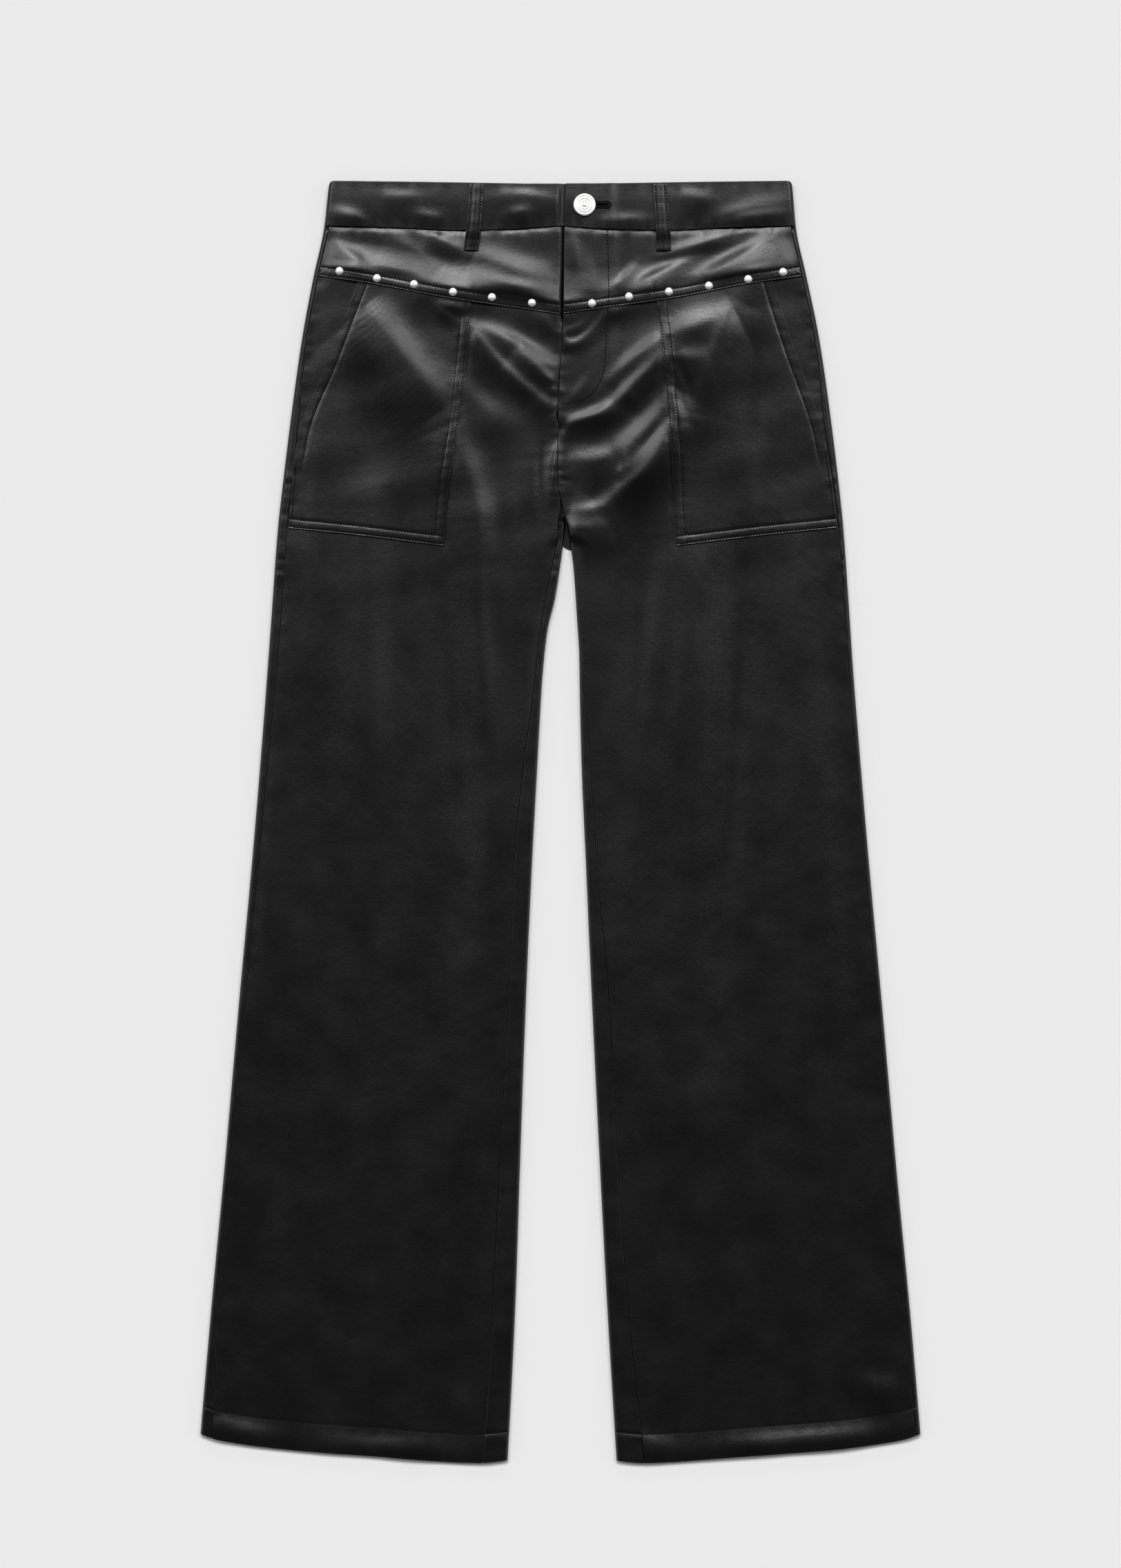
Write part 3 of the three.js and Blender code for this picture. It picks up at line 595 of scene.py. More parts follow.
def unevenness(x, y):
    """The slight waves of leather that lies by its own weight, longer down the legs."""
    upper = ease(y, 120, 330)
    legs = [(1, 0.06, 88, 0.5), (0.96, -0.12, 57, 0.24), (0.6, 0.5, 150, 0.2)]
    hips = [(0.9, 0.4, 76, 0.26), (-0.5, 0.85, 61, 0.2), (0.2, -1, 37, 0.09), (1, 0.15, 31, 0.08)]
    total = 0
    for waves, share in ((legs, 1 - 0.6 * upper), (hips, upper)):
        for i, (a, b, length, height) in enumerate(waves):
            total = total + share * height * np.sin(2 * math.pi * (a * x + b * y) / length + 1.7 * i)
    return total


def pucker(across, along, seed, depth=0.28, width=6, wavelength=11):
    """Small gathers beside a line of sewing, across away from it."""
    return depth * wander(along, wavelength, seed) * np.exp(-((across / width) ** 2))


def groove(across, depth=0.35, width=0.9):
    return -depth * np.exp(-((across / width) ** 2))


def front_base(half, x, y):
    """The laid front's sag and the fly's step, without folds."""
    out = half.side * x
    to_fork = mix(100, out - half.fork(y), ease(y, half.crotch, half.crotch - 40))
    edge = np.minimum(half.rim(y) - out, to_fork)
    sag = mix(0.9, 0.2, ease(y, 150, 300)) * ease(edge, ROLL, 70)
    lap = ease(y, FLY_END - 22, FLY_END - 7)
    centre = centre_front(y)
    if half is LEFT:
        return FLY_STEP * lap * ease(x, centre + FLY_WIDTH + 15, centre + FLY_WIDTH) - sag, edge, 0 * x
    under = lap * ease(x, centre - 2.2, centre - 0.3)
    dip = mix(0.35, UNDER_DIP, ease(y, yoke_edge(out) - 8, yoke_edge(out) - 2))
    return -sag - dip * under, edge, under


def front_relief(half):
    def relief(x, y):
        base, edge, under = front_base(half, x, y)
        inside = ease(edge, ROLL, ROLL + 12)
        folds = folds_height(FRONT_FOLDS, x, y) + unevenness(x, y) + seam_ridge(half, x, y)
        # Gathers beside the side seam, the inseam and the seam at centre front
        out = half.side * x
        seam = half.rim(y) - half.strip(y) - out
        gathers = pucker(seam, y, 1.3 * half.side, 0.22, 7, 23)
        inner = np.abs(x - centre_front(y))
        gathers += pucker(inner, y, 2.1, 0.22, 7, 12) * ease(y, 262, 272)
        # The front dips along the pocket's inner edge, down to its foot
        foot = pocket_foot(out)
        beside_pocket = groove(half.pocket_inner(y) - out - 1.5, 0.5, 1.1) * ease(y, foot - 3, foot)
        return (folds * inside + gathers) * (1 - under) + base + beside_pocket

    return relief


def pocket_relief(half):
    front = front_relief(half)

    def relief(x, y):
        out = half.side * x
        inner = out - half.pocket_inner(y)
        opening = (half.pocket_outer(y) - out) * 0.93
        foot = y - pocket_foot(out)
        height = front(x, y) + POCKET_RISE
        for line, along, seed in ((inner, y, 4.2), (foot, out, 0.7)):
            for row in STITCH_ROWS:
                across = line - row
                height = height + groove(across, 0.28) + pucker(across, along, seed + row, 0.1, 4, 10)
        slanted = ease(y, 292, 306)
        return height + slanted * (groove(opening - 7.5, 0.4) + pucker(opening - 5, y, 5.5, 0.14, 5, 17))

    return relief


def yoke_relief(half):
    front = front_relief(half)

    def relief(x, y):
        out = half.side * x
        above = y - yoke_edge(out)
        on_front = ease(above, YOKE_LAP + 26, YOKE_LAP + 1)
        inner, outer = half.pocket_inner(y), half.pocket_outer(y)
        on_pocket = ease(out, inner - 34, inner - 2) * ease(out, outer + 26, outer + 2)
        base, edge, under = front_base(half, x, y)
        hidden = ease(above, YOKE_LAP + 8, YOKE_LAP)
        inside = ease(edge, ROLL, ROLL + 12) * (1 - under)
        ridge = seam_ridge(half, x, y) * inside
        below = hidden * (front(x, y) - base - ridge)
        folds = folds_height(YOKE_FOLDS, x, y) + 0.5 * unevenness(x, y)
        own = folds * inside * ease(above, 3, 12) + ridge
        layers = on_front * (LAP_RISE + POCKET_RISE * on_pocket)
        # The band between the two rows is puffed, with small slanting gathers
        rows = sum(groove(above - row, 0.22) for row in STITCH_ROWS)
        slanted = out + 0.9 * above
        puff = 0.1 * np.exp(-(((above - 4.2) / 2.5) ** 2)) + pucker(above - 4.4, slanted, 3.3, 0.3, 2.6, 5)
        # The seam below the waistband pulls the yoke down, more in places
        below_band = band_seam(out) - y
        pull = 0.55 + 0.3 * wander(out, 60, 2.7)
        seam = pucker(below_band, out, 6.1, 0.3, 6, 17) - pull * np.exp(-((below_band / 2.8) ** 2))
        return base + below + own + layers + rows + puff + seam

    return relief


def band_relief(half):
    def relief(x, y):
        centre = centre_front(WAIST)
        if half is RIGHT:
            base = -BAND_SAG - BAND_DIP * ease(x, centre - 6, centre - 1)
            shown = ease(x, centre - 1, centre - 6)
        else:
            base = mix(-BAND_SAG, BAND_PROUD, ease(x, centre + UNDERLAP + 14, centre + UNDERLAP + 3))
            shown = np.ones(x.shape)
        out = half.side * x
        above = y - band_seam(out)
        below = band_top(out) - y
        puff = 0.5 * ease(np.minimum(below, above), -2, 17)
        gathers = pucker(above, out, 2.4, 0.3, 7, 14) + pucker(below, out, 1.9, 0.2, 6, 19)
        return base + shown * (folds_height(BAND_FOLDS, x, y) + puff + gathers)

    return relief


def wall_mesh(outer, inner):
    """Points and faces of a closed wall between two grids of points (rows, columns, 3)."""
    rows, columns = outer.shape[:2]
    far = rows * columns
    grid = np.arange(far).reshape(rows, columns)
    a, b, c, d = grid[:-1, :-1], grid[:-1, 1:], grid[1:, 1:], grid[1:, :-1]
    front = np.stack([a, b, c, d], -1).reshape(-1, 4)
    rim = np.concatenate([grid[0, :], grid[1:, -1], grid[-1, -2::-1], grid[-2:0:-1, 0]])
    after = np.roll(rim, -1)
    sides = np.stack([after, rim, rim + far, after + far], -1)
    faces = np.concatenate([front, front[:, ::-1] + far, sides])
    points = np.concatenate([outer.reshape(-1, 3), inner.reshape(-1, 3)])
    return points, faces


def make_object(name, points, faces, material, smooth=True):
    """A mesh object from millimetre points and faces, turned so that its faces point out."""
    mesh = bpy.data.meshes.new(name)
    mesh.from_pydata((np.asarray(points) * MM).tolist(), [], [list(map(int, f)) for f in faces])
    mesh.update()
    a, b, c = (np.asarray(points)[[f[i] for f in faces]] for i in range(3))
    if np.einsum("ij,ij->i", a, np.cross(b, c)).sum() < 0:
        mesh.flip_normals()
    mesh.polygons.foreach_set("use_smooth", [smooth] * len(mesh.polygons))
    mesh.materials.append(material)
    piece = bpy.data.objects.new(name, mesh)
    bpy.context.collection.objects.link(piece)
    return piece


def shifted(line, rise):
    """A line, which gives y at a distance out, moved up by a rise."""
    return lambda out: line(out) + rise


def blended(line, other, share):
    """The line that lies a share of the way from one line to another."""
    return lambda out: mix(line(out), other(out), share)


def seam_ends(path):
    """Distances along a path where its cloth starts and ends, half a gap from the seams."""
    return np.broadcast_to(SEAM_GAP / 2, path.length.shape), path.length - SEAM_GAP / 2


def to_seam(path, at):
    low, high = seam_ends(path)
    return np.minimum(at - low, high - at)


def even_wall(thickness):
    return lambda out, y: np.full(y.shape, thickness)


def between(low, high, step, most):
    """Even places strictly between two arrays of limits, the same count for each."""
    count = max(2, round(most / step))
    share = np.arange(1, count) / count
    return low[..., None] + (high - low)[..., None] * share


def round_edge(distance):
    """How far a turned edge's face falls below the panel, by distance from the edge."""
    t = np.clip(1 - distance / EDGE_ROUND, 0, 1)
    return EDGE_ROUND * (1 - np.sqrt(1 - t * t))


def cloth_grids(half, path_of, lines, places, relief, wall, rounding):
    """Outer and inner grids of points.

    lines give y at a distance out, places(path, y) gives the row's distances along its path, and
    rounding gives how far a place lies from the nearest edge."""
    sample = np.array([WAIST - 60.0])
    count = places(path_of(half, sample), sample).shape[-1]
    y = np.array([[float(line(np.array(100.0)))] * count for line in lines])
    columns = np.arange(count)

    def place(y):
        flat = y.reshape(-1)
        path = path_of(half, flat)
        at = places(path, flat)[np.arange(flat.size), np.tile(columns, len(lines))]
        out, z, heading = path.at(at)
        return path, at, out.reshape(y.shape), z.reshape(y.shape), heading.reshape(y.shape)

    for _ in range(6):
        out = place(y)[2]
        y = np.stack([line(row) for line, row in zip(lines, out)])
    path, at, out, z, heading = place(y)
    x = half.side * out
    up = np.clip(np.cos(heading), 0, 1)
    shape = (len(lines), count)
    lift = up * relief(x.ravel(), y.ravel()).reshape(shape)
    step = 0.5

    def tilt(dx, dy):
        ahead = relief((x + dx).ravel(), (y + dy).ravel())
        behind = relief((x - dx).ravel(), (y - dy).ravel())
        return up * (ahead - behind).reshape(shape) / (2 * step)

    normal = np.stack([-half.side * np.sin(heading) - tilt(step, 0), -tilt(0, step), np.cos(heading)], -1)
    normal /= np.linalg.norm(normal, axis=-1, keepdims=True)
    points = np.stack([x, y, z + lift], -1)
    edge = rounding(path, at, out.ravel(), y.ravel()).reshape(shape)
    thickness = wall(out, y)
    outer = points - normal * round_edge(edge)[..., None]
    inner = points - normal * thickness[..., None]
    return outer, inner


def leg_lines(upper, zones, lower_step=5):
    """Lines down a leg: close at the top edge, a step for each zone (down to a level), close at the hem."""
    top = float(upper(np.array(0.0)))
    bottom = HEM[0][1] + HEM_RISES[-1]
    levels = [top]
    for level, step in [*zones, (bottom, lower_step)]:
        count = max(1, round((levels[-1] - level) / step))
        levels += list(np.linspace(levels[-1], level, count + 1)[1:])
    shares = [(top - level) / (top - bottom) for level in levels[:-1]]
    last = shifted(hem, HEM_RISES[-1])
    lines = [blended(upper, last, share) for share in shares]
    return lines + [shifted(hem, rise) for rise in reversed(HEM_RISES)]


def hem_wall(out, y):
    return WALL + HEM_FOLD * ease(y - hem(out), HEM_DEPTH + 1, HEM_DEPTH - 1)


def leg_rounding(path, at, out, y):
    return np.minimum(to_seam(path, at), y - hem(out))


def front_grids(half):
    def places(path, y):
        low, high = seam_ends(path)
        lead = np.maximum(path.bend, EDGE_SPREAD[-1])
        start = low[..., None] + EDGE_SPREAD / EDGE_SPREAD[-1] * lead[..., None]
        end = high[..., None] - EDGE_SPREAD[::-1]
        return np.concatenate([start, between(start[..., -1], end[..., 0], 2.7, 225), end], -1)

    relief = front_relief(half)

    def hem_relief(x, y):
        rise = y - hem(half.side * x)
        across = rise - HEM_DEPTH
        row = groove(across, 0.12, 1) + pucker(across, x, 2.9 * half.side, 0.16, 6, 16)
        return relief(x, y) + row + 0.5 * ease(across, 0, -14) - 0.4 * ease(rise, 8, 0)

    lines = leg_lines(shifted(yoke_edge, YOKE_LAP), [(225, 2.3), (120, 4)], 6)
    return cloth_grids(half, FrontPath, lines, places, hem_relief, hem_wall, leg_rounding)


def back_grids(half):
    shortest = 9  # of the close lines round each edge

    def places(path, y):
        low, high = seam_ends(path)
        start = low[..., None] + BACK_SPREAD * np.maximum(path.outer, shortest)[..., None]
        end = high[..., None] - BACK_SPREAD[::-1] * np.maximum(path.inner, shortest)[..., None]
        return np.concatenate([start, between(start[..., -1], end[..., 0], 22, 220), end], -1)

    def relief(x, y):
        rise = y - hem(half.side * x)
        gathers = 0.18 * wander(y, 21, 0.8) + 0.12 * wander(y, 9, 2.2)
        return gathers * ease(rise, -1, 8) + groove(rise - HEM_DEPTH, 0.35, 1)

    lines = leg_lines(shifted(band_seam, -SEAM_GAP / 2), [(290, 6), (200, 2), (90, 5)], 7)
    return cloth_grids(half, BackPath, lines, places, relief, hem_wall, leg_rounding)


def yoke_grids(half):
    def places(path, y):
        low, high = seam_ends(path)
        start = low[..., None] + EDGE_SPREAD
        end = high[..., None] - EDGE_SPREAD[::-1]
        return np.concatenate([start, between(start[..., -1], end[..., 0], 1.8, 190), end], -1)

    top = shifted(band_seam, -SEAM_GAP / 2)
    upper_edge = EDGE_SPREAD[:-1]
    first, last = shifted(yoke_edge, YOKE_SPREAD[-1]), shifted(top, -upper_edge[-1])
    lines = [shifted(yoke_edge, rise) for rise in YOKE_SPREAD]
    lines += [blended(first, last, share) for share in np.linspace(0, 1, 22)[1:-1]]
    lines += [shifted(top, -depth) for depth in reversed(upper_edge)]

    def rounding(path, at, out, y):
        return np.minimum(to_seam(path, at), np.minimum(y - yoke_edge(out), top(out) - y))

    return cloth_grids(half, FrontPath, lines, places, yoke_relief(half), even_wall(WALL), rounding)


def pocket_grids(half):
    def places(path, y):
        inner, outer = half.pocket_inner(y), half.pocket_outer(y)
        start = inner[..., None] + POCKET_SPREAD
        end = outer[..., None] - POCKET_SPREAD[::-1]
        out = np.concatenate([start, between(start[..., -1], end[..., 0], 2.2, 112), end], -1)
        return path.along(out.T).T

    covered = shifted(yoke_edge, YOKE_LAP - 1)
    last = shifted(pocket_foot, POCKET_SPREAD[-1])
    lines = [blended(covered, last, share) for share in np.linspace(0, 1, 92)[:-1]]
    lines += [shifted(pocket_foot, rise) for rise in reversed(POCKET_SPREAD)]

    def rounding(path, at, out, y):
        sides = np.minimum(out - half.pocket_inner(y), half.pocket_outer(y) - out)
        return np.minimum(sides, y - pocket_foot(out))

    return cloth_grids(half, FrontPath, lines, places, pocket_relief(half), even_wall(WALL), rounding)


def band_grids(half):
    def places(path, y):
        low = np.zeros(path.length.shape)
        high = path.length - SEAM_GAP / 2
        over = path.edge - path.first
        round_end = over + math.pi * BAND_ROLL
        start = low[..., None] + EDGE_SPREAD
        bend = over[..., None] + math.pi * BAND_ROLL * np.linspace(0, 1, 15)
        top = between(start[..., -1], over, 1.8, 200)
        under = between(round_end, high - EDGE_SPREAD[-1], 20, 180)
        return np.concatenate([start, top, bend, under, high[..., None] - EDGE_SPREAD[::-1]], -1)

    seam = shifted(band_seam, SEAM_GAP / 2)
    first, last = shifted(seam, BAND_SPREAD[-1]), shifted(band_top, -BAND_SPREAD[-1])
    lines = [shifted(seam, rise) for rise in BAND_SPREAD]
    lines += [blended(first, last, share) for share in np.linspace(0, 1, 16)[1:-1]]
    lines += [shifted(band_top, -depth) for depth in reversed(BAND_SPREAD)]

    def rounding(path, at, out, y):
        ends = np.minimum(at, path.length - SEAM_GAP / 2 - at)
        return np.minimum(ends, np.minimum(y - seam(out), band_top(out) - y))

    return cloth_grids(half, BandPath, lines, places, band_relief(half), even_wall(BAND_WALL), rounding)


def loop_middle(loop):
    top, seam, foot = loop
    return curve([(LOOP["foot"], foot), (WAIST, seam), (LOOP["top"], top)])


def loop_under(half, x, y):
    """Height of a belt loop's underside: clear of the waistband and the yoke, bowed between its ends."""
    share = (y - LOOP["foot"]) / (LOOP["top"] - LOOP["foot"])
    clear = 0.3
    on_yoke = 2 * ROLL + front_base(half, x, y)[0] + clear
    on_band = 2 * BAND_ROLL - BAND_SAG + clear
    rest = mix(on_yoke, on_band, ease(y, WAIST - 13, WAIST - 5))
    return rest + SEAM_GAP + LOOP["bow"] * np.sin(math.pi * np.clip(share, 0, 1))


def loop_grids(half, loop):
    """A belt loop's strap: a raised middle between two rows of stitches, with rounded edges."""
    middle = loop_middle(loop)
    half_width = LOOP["width"] / 2
    across = np.concatenate([LOOP_SIDES - half_width, [0], half_width - LOOP_SIDES[::-1]])
    length = LOOP["top"] - LOOP["foot"]
    inner = np.linspace(LOOP_ENDS[-1], length - LOOP_ENDS[-1], 30)[1:-1]
    along = np.concatenate([LOOP_ENDS, inner, length - LOOP_ENDS[::-1]])
    y = LOOP["foot"] + along[:, None] + 0 * across[None, :]
    x = middle(y) + across[None, :]
    side = half_width - np.abs(across)[None, :] + 0 * y
    end = np.minimum(along, length - along)[:, None] + 0 * x
    edge = np.minimum(side, end)
    crown = 0.7 * ease(side, 2.2, 4.8)
    rows = groove(side - LOOP_ROW, 0.35, 0.6)
    uneven = 0.1 * wander(y, 15, middle(WAIST))
    under = loop_under(half, x, y)
    top = under + LOOP["wall"] + crown + rows + uneven - 1.2 * round_edge(edge)
    return np.stack([x, y, top], -1), np.stack([x, y, under], -1)


def capsule_template(sides=6):
    """A stitch along X, of unit length and radius, as points and faces."""
    points = [(-0.5, 0, 0)]
    for x, radius in ((-0.42, 0.75), (-0.2, 1), (0.2, 1), (0.42, 0.75)):
        for k in range(sides):
            angle = 2 * math.pi * k / sides
            points.append((x, radius * math.cos(angle), radius * math.sin(angle)))
    points.append((0.5, 0, 0))
    faces = [(0, 1 + (k + 1) % sides, 1 + k) for k in range(sides)]
    for ring in range(3):
        a, b = 1 + ring * sides, 1 + (ring + 1) * sides
        faces += [(a + k, a + (k + 1) % sides, b + (k + 1) % sides, b + k) for k in range(sides)]
    last = len(points) - 1
    faces += [(last, last - sides + k, last - sides + (k + 1) % sides) for k in range(sides)]
    return np.array(points), faces


CAPSULE = capsule_template()


def stitches_at(centres, directions, length=STITCH_LENGTH, radius=THREAD, flat=0.8):
    """Points and faces of stitches with these middles and directions."""
    shape, shape_faces = CAPSULE
    points, faces = [], []
    for centre, direction in zip(centres, directions):
        ahead = direction / np.linalg.norm(direction)
        side = np.cross((0, 0, 1), ahead)
        side /= np.linalg.norm(side)
        up = np.cross(ahead, side)
        first = len(points) * len(shape)
        points.append(
            centre
            + shape[:, :1] * length * ahead
            + shape[:, 1:2] * radius * side
            + shape[:, 2:] * radius * flat * up
        )
        faces += [tuple(first + i for i in face) for face in shape_faces]
    return np.concatenate(points), faces


def sew(line, height, pitch=STITCH_PITCH, length=STITCH_LENGTH):
    """Stitches along a line of (x, y) points, lying on the surface that height(x, y) gives."""
    line = np.asarray(line, float)
    steps = np.hypot(*np.diff(line, axis=0).T)
    run = np.concatenate([[0], np.cumsum(steps)])
    count = int(run[-1] / pitch)
    middles = (np.arange(count) + 0.5) * run[-1] / count

    def point(at):
        x, y = np.interp(at, run, line[:, 0]), np.interp(at, run, line[:, 1])
        return np.stack([x, y, height(x, y)], -1)

    before, after = point(middles - length / 2), point(middles + length / 2)
    centres = (before + after) / 2 + (0, 0, THREAD * 0.35)
    return stitches_at(centres, after - before, length)


def smooth_line(rows, step=2):
    """Points along a smooth curve through rows of (x, y)."""
    rows = np.asarray(rows, float)
    run = np.concatenate([[0], np.cumsum(np.hypot(*np.diff(rows, axis=0).T))])
    at = np.arange(0, run[-1], step)
    x, y = curve(list(zip(run, rows[:, 0]))), curve(list(zip(run, rows[:, 1])))
    return np.stack([x(at), y(at)], -1)


def gather(parts):
    """Several (points, faces) as one."""
    points, faces, first = [], [], 0
    for part_points, part_faces in parts:
        points.append(part_points)
        faces += [tuple(first + i for i in face) for face in part_faces]
        first += len(part_points)
    return np.concatenate(points), faces


def lathe(profile, segments):
    """Points and faces of a solid of revolution about Z, from radii and heights that start and end at 0."""
    rings = profile[1:-1]
    points = [(0, 0, profile[0][1])]
    for radius, z in rings:
        for k in range(segments):
            angle = 2 * math.pi * k / segments
            points.append((radius * math.cos(angle), radius * math.sin(angle), z))
    points.append((0, 0, profile[-1][1]))
    faces = [(0, 1 + (k + 1) % segments, 1 + k) for k in range(segments)]
    for ring in range(len(rings) - 1):
        a, b = 1 + ring * segments, 1 + (ring + 1) * segments
        faces += [(a + k, a + (k + 1) % segments, b + (k + 1) % segments, b + k) for k in range(segments)]
    last = len(points) - 1
    faces += [(last, last - segments + k, last - segments + (k + 1) % segments) for k in range(segments)]
    return np.array(points, float), faces


# Materials


def new_material(name):
    material = bpy.data.materials.new(name)
    material.use_nodes = True
    nodes, links = material.node_tree.nodes, material.node_tree.links
    return material, nodes, links, nodes["Principled BSDF"]


def add_node(nodes, kind, **values):
    node = nodes.new(kind)
    for key, value in values.items():
        setattr(node, key, value)
    return node


def position_of(nodes):
    return nodes.new("ShaderNodeTexCoord").outputs["Object"]


def ramp(nodes, links, source, low, high, low_value, high_value):
    """The source mapped from low..high to low_value..high_value, clamped."""
    node = add_node(nodes, "ShaderNodeMapRange")
    links.new(source, node.inputs["Value"])
    for key, value in (("From Min", low), ("From Max", high), ("To Min", low_value), ("To Max", high_value)):
        node.inputs[key].default_value = value
    return node.outputs["Result"]


def noise(nodes, links, position, size, detail=3, roughness=0.55):
    """Noise whose features are about size millimetres across."""
    node = add_node(nodes, "ShaderNodeTexNoise")
    links.new(position, node.inputs["Vector"])
    node.inputs["Scale"].default_value = 1 / (size * MM)
    node.inputs["Detail"].default_value = detail
    node.inputs["Roughness"].default_value = roughness
    return node.outputs["Fac"]


def pebbles(nodes, links, position, size):
    node = add_node(nodes, "ShaderNodeTexVoronoi", feature="DISTANCE_TO_EDGE")
    links.new(position, node.inputs["Vector"])
    node.inputs["Scale"].default_value = 1 / (size * MM)
    return node.outputs["Distance"]


def add_bump(nodes, links, height, distance, strength=1.0, under=None):
    node = add_node(nodes, "ShaderNodeBump")
    links.new(height, node.inputs["Height"])
    node.inputs["Distance"].default_value = distance * MM
    node.inputs["Strength"].default_value = strength
    if under is not None:
        links.new(under, node.inputs["Normal"])
    return node.outputs["Normal"]


def leather_material():
    """Coated black leather: a fine pebbled grain with soft creases, slightly uneven in gloss."""
    material, nodes, links, shader = new_material("leather")
    position = position_of(nodes)
    tint = add_node(nodes, "ShaderNodeMix", data_type="RGBA")
    shades = noise(nodes, links, position, 60, 4)
    links.new(ramp(nodes, links, shades, 0.35, 0.68, 0, 1), tint.inputs["Factor"])
    tint.inputs["A"].default_value = (0.0026, 0.0026, 0.0029, 1)
    tint.inputs["B"].default_value = (0.0038, 0.0037, 0.0038, 1)
    links.new(tint.outputs["Result"], shader.inputs["Base Color"])
    patches = noise(nodes, links, position, 35, 4)
    links.new(ramp(nodes, links, patches, 0.3, 0.7, 0.27, 0.34), shader.inputs["Roughness"])
    shader.inputs["Specular IOR Level"].default_value = 0.5
    soft = add_bump(nodes, links, noise(nodes, links, position, 9, 2), 0.10)
    coarse = add_bump(nodes, links, noise(nodes, links, position, 2.4, 3), 0.075, 1.0, soft)
    grain = ramp(nodes, links, pebbles(nodes, links, position, 0.85), 0, 0.3, 0, 1)
    fine = add_bump(nodes, links, grain, 0.018, 1.0, coarse)
    links.new(fine, shader.inputs["Normal"])
    return material


def metal_material():
    """Silver-coloured plated metal with a soft finish, slightly uneven in tint and gloss."""
    material, nodes, links, shader = new_material("metal")
    position = position_of(nodes)
    shader.inputs["Metallic"].default_value = 1
    tint = add_node(nodes, "ShaderNodeMix", data_type="RGBA")
    shades = noise(nodes, links, position, 1.5, 4)
    links.new(ramp(nodes, links, shades, 0.35, 0.7, 0, 1), tint.inputs["Factor"])
    tint.inputs["A"].default_value = (0.80, 0.79, 0.77, 1)
    tint.inputs["B"].default_value = (0.93, 0.92, 0.90, 1)
    links.new(tint.outputs["Result"], shader.inputs["Base Color"])
    patches = noise(nodes, links, position, 0.8, 3)
    links.new(ramp(nodes, links, patches, 0.3, 0.7, 0.44, 0.56), shader.inputs["Roughness"])
    links.new(add_bump(nodes, links, noise(nodes, links, position, 0.35, 2), 0.01), shader.inputs["Normal"])
    return material


def thread_material():
    material, nodes, links, shader = new_material("thread")
    position = position_of(nodes)
    shader.inputs["Base Color"].default_value = (0.003, 0.003, 0.003, 1)
    shader.inputs["Roughness"].default_value = 0.7
    shader.inputs["Specular IOR Level"].default_value = 0.15
    twist = add_node(nodes, "ShaderNodeTexWave", bands_direction="DIAGONAL")
    links.new(position, twist.inputs["Vector"])
    twist.inputs["Scale"].default_value = 700
    links.new(add_bump(nodes, links, twist.outputs["Fac"], 0.05), shader.inputs["Normal"])
    return material


def floor_material():
    material, _, _, shader = new_material("paper")
    shader.inputs["Base Color"].default_value = (0.9, 0.9, 0.9, 1)
    shader.inputs["Roughness"].default_value = 0.9
    shader.inputs["Specular IOR Level"].default_value = 0.1
    return material


leather = leather_material()
metal = metal_material()
thread = thread_material()

# Camera and light


def add_camera():
    data = bpy.data.cameras.new("camera")
    camera = bpy.data.objects.new("camera", data)
    bpy.context.collection.objects.link(camera)
    half_height = PHOTO_HEIGHT / 2 * PHOTO_SCALE
    data.sensor_width = SENSOR
    data.lens = SENSOR / 2 * CAMERA_HEIGHT / half_height
    data.clip_start, data.clip_end = 0.05, 60
    camera.location = (0, PHOTO_CENTRE_Y * MM, CAMERA_HEIGHT * MM)
    camera.rotation_euler = (0, 0, 0)
    bpy.context.scene.camera = camera


def add_sun(name, azimuth, elevation, power, spread):
    """Soft even light from an azimuth, in degrees from +X towards +Y, and an elevation."""
    data = bpy.data.lights.new(name, "SUN")
    data.energy = power
    data.angle = math.radians(spread)
    light = bpy.data.objects.new(name, data)
    bpy.context.collection.objects.link(light)
    light.rotation_euler = (0, math.radians(90 - elevation), math.radians(azimuth))


def add_studio():
    add_sun("key_middle", 92, 55, 1.42, 15)
    add_sun("key_right", 136, 55, 0.75, 20)
    add_sun("key_left", 44, 55, 0.75, 20)
    add_sun("side_right", 180, 24, 0.34, 36)
    add_sun("side_left", 0, 24, 0.34, 36)
    add_sun("low_back", 90, 17, 0.3, 34)
    add_sun("hem_fill", 270, 24, 0.16, 36)
    world = bpy.data.worlds.new("studio")
    world.use_nodes = True
    background = world.node_tree.nodes["Background"]
    background.inputs["Color"].default_value = (0.9, 0.9, 0.9, 1)
    background.inputs["Strength"].default_value = 0.025
    bpy.context.scene.world = world
    settings = bpy.context.scene.view_settings
    settings.view_transform = "Standard"
    settings.look = "None"


def add_floor():
    corners = [(-1, -1), (1, -1), (1, 1), (-1, 1)]
    points = [(x * FLOOR_HALF, y * FLOOR_HALF, -FLOOR_DROP) for x, y in corners]
    floor = make_object("floor", points, [(0, 1, 2, 3)], floor_material(), smooth=False)


add_camera()
add_studio()
add_floor()

# Pieces


def dress(piece, slot, *nodes):
    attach(piece, "root")
    if nodes:
        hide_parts(*nodes)


def add_cloth(kind, half, grids):
    node = f"{kind}_{half.name}"
    piece = make_object(f"cloth_{node}", *wall_mesh(*grids), leather)
    dress(piece, "leather", node)
    return piece


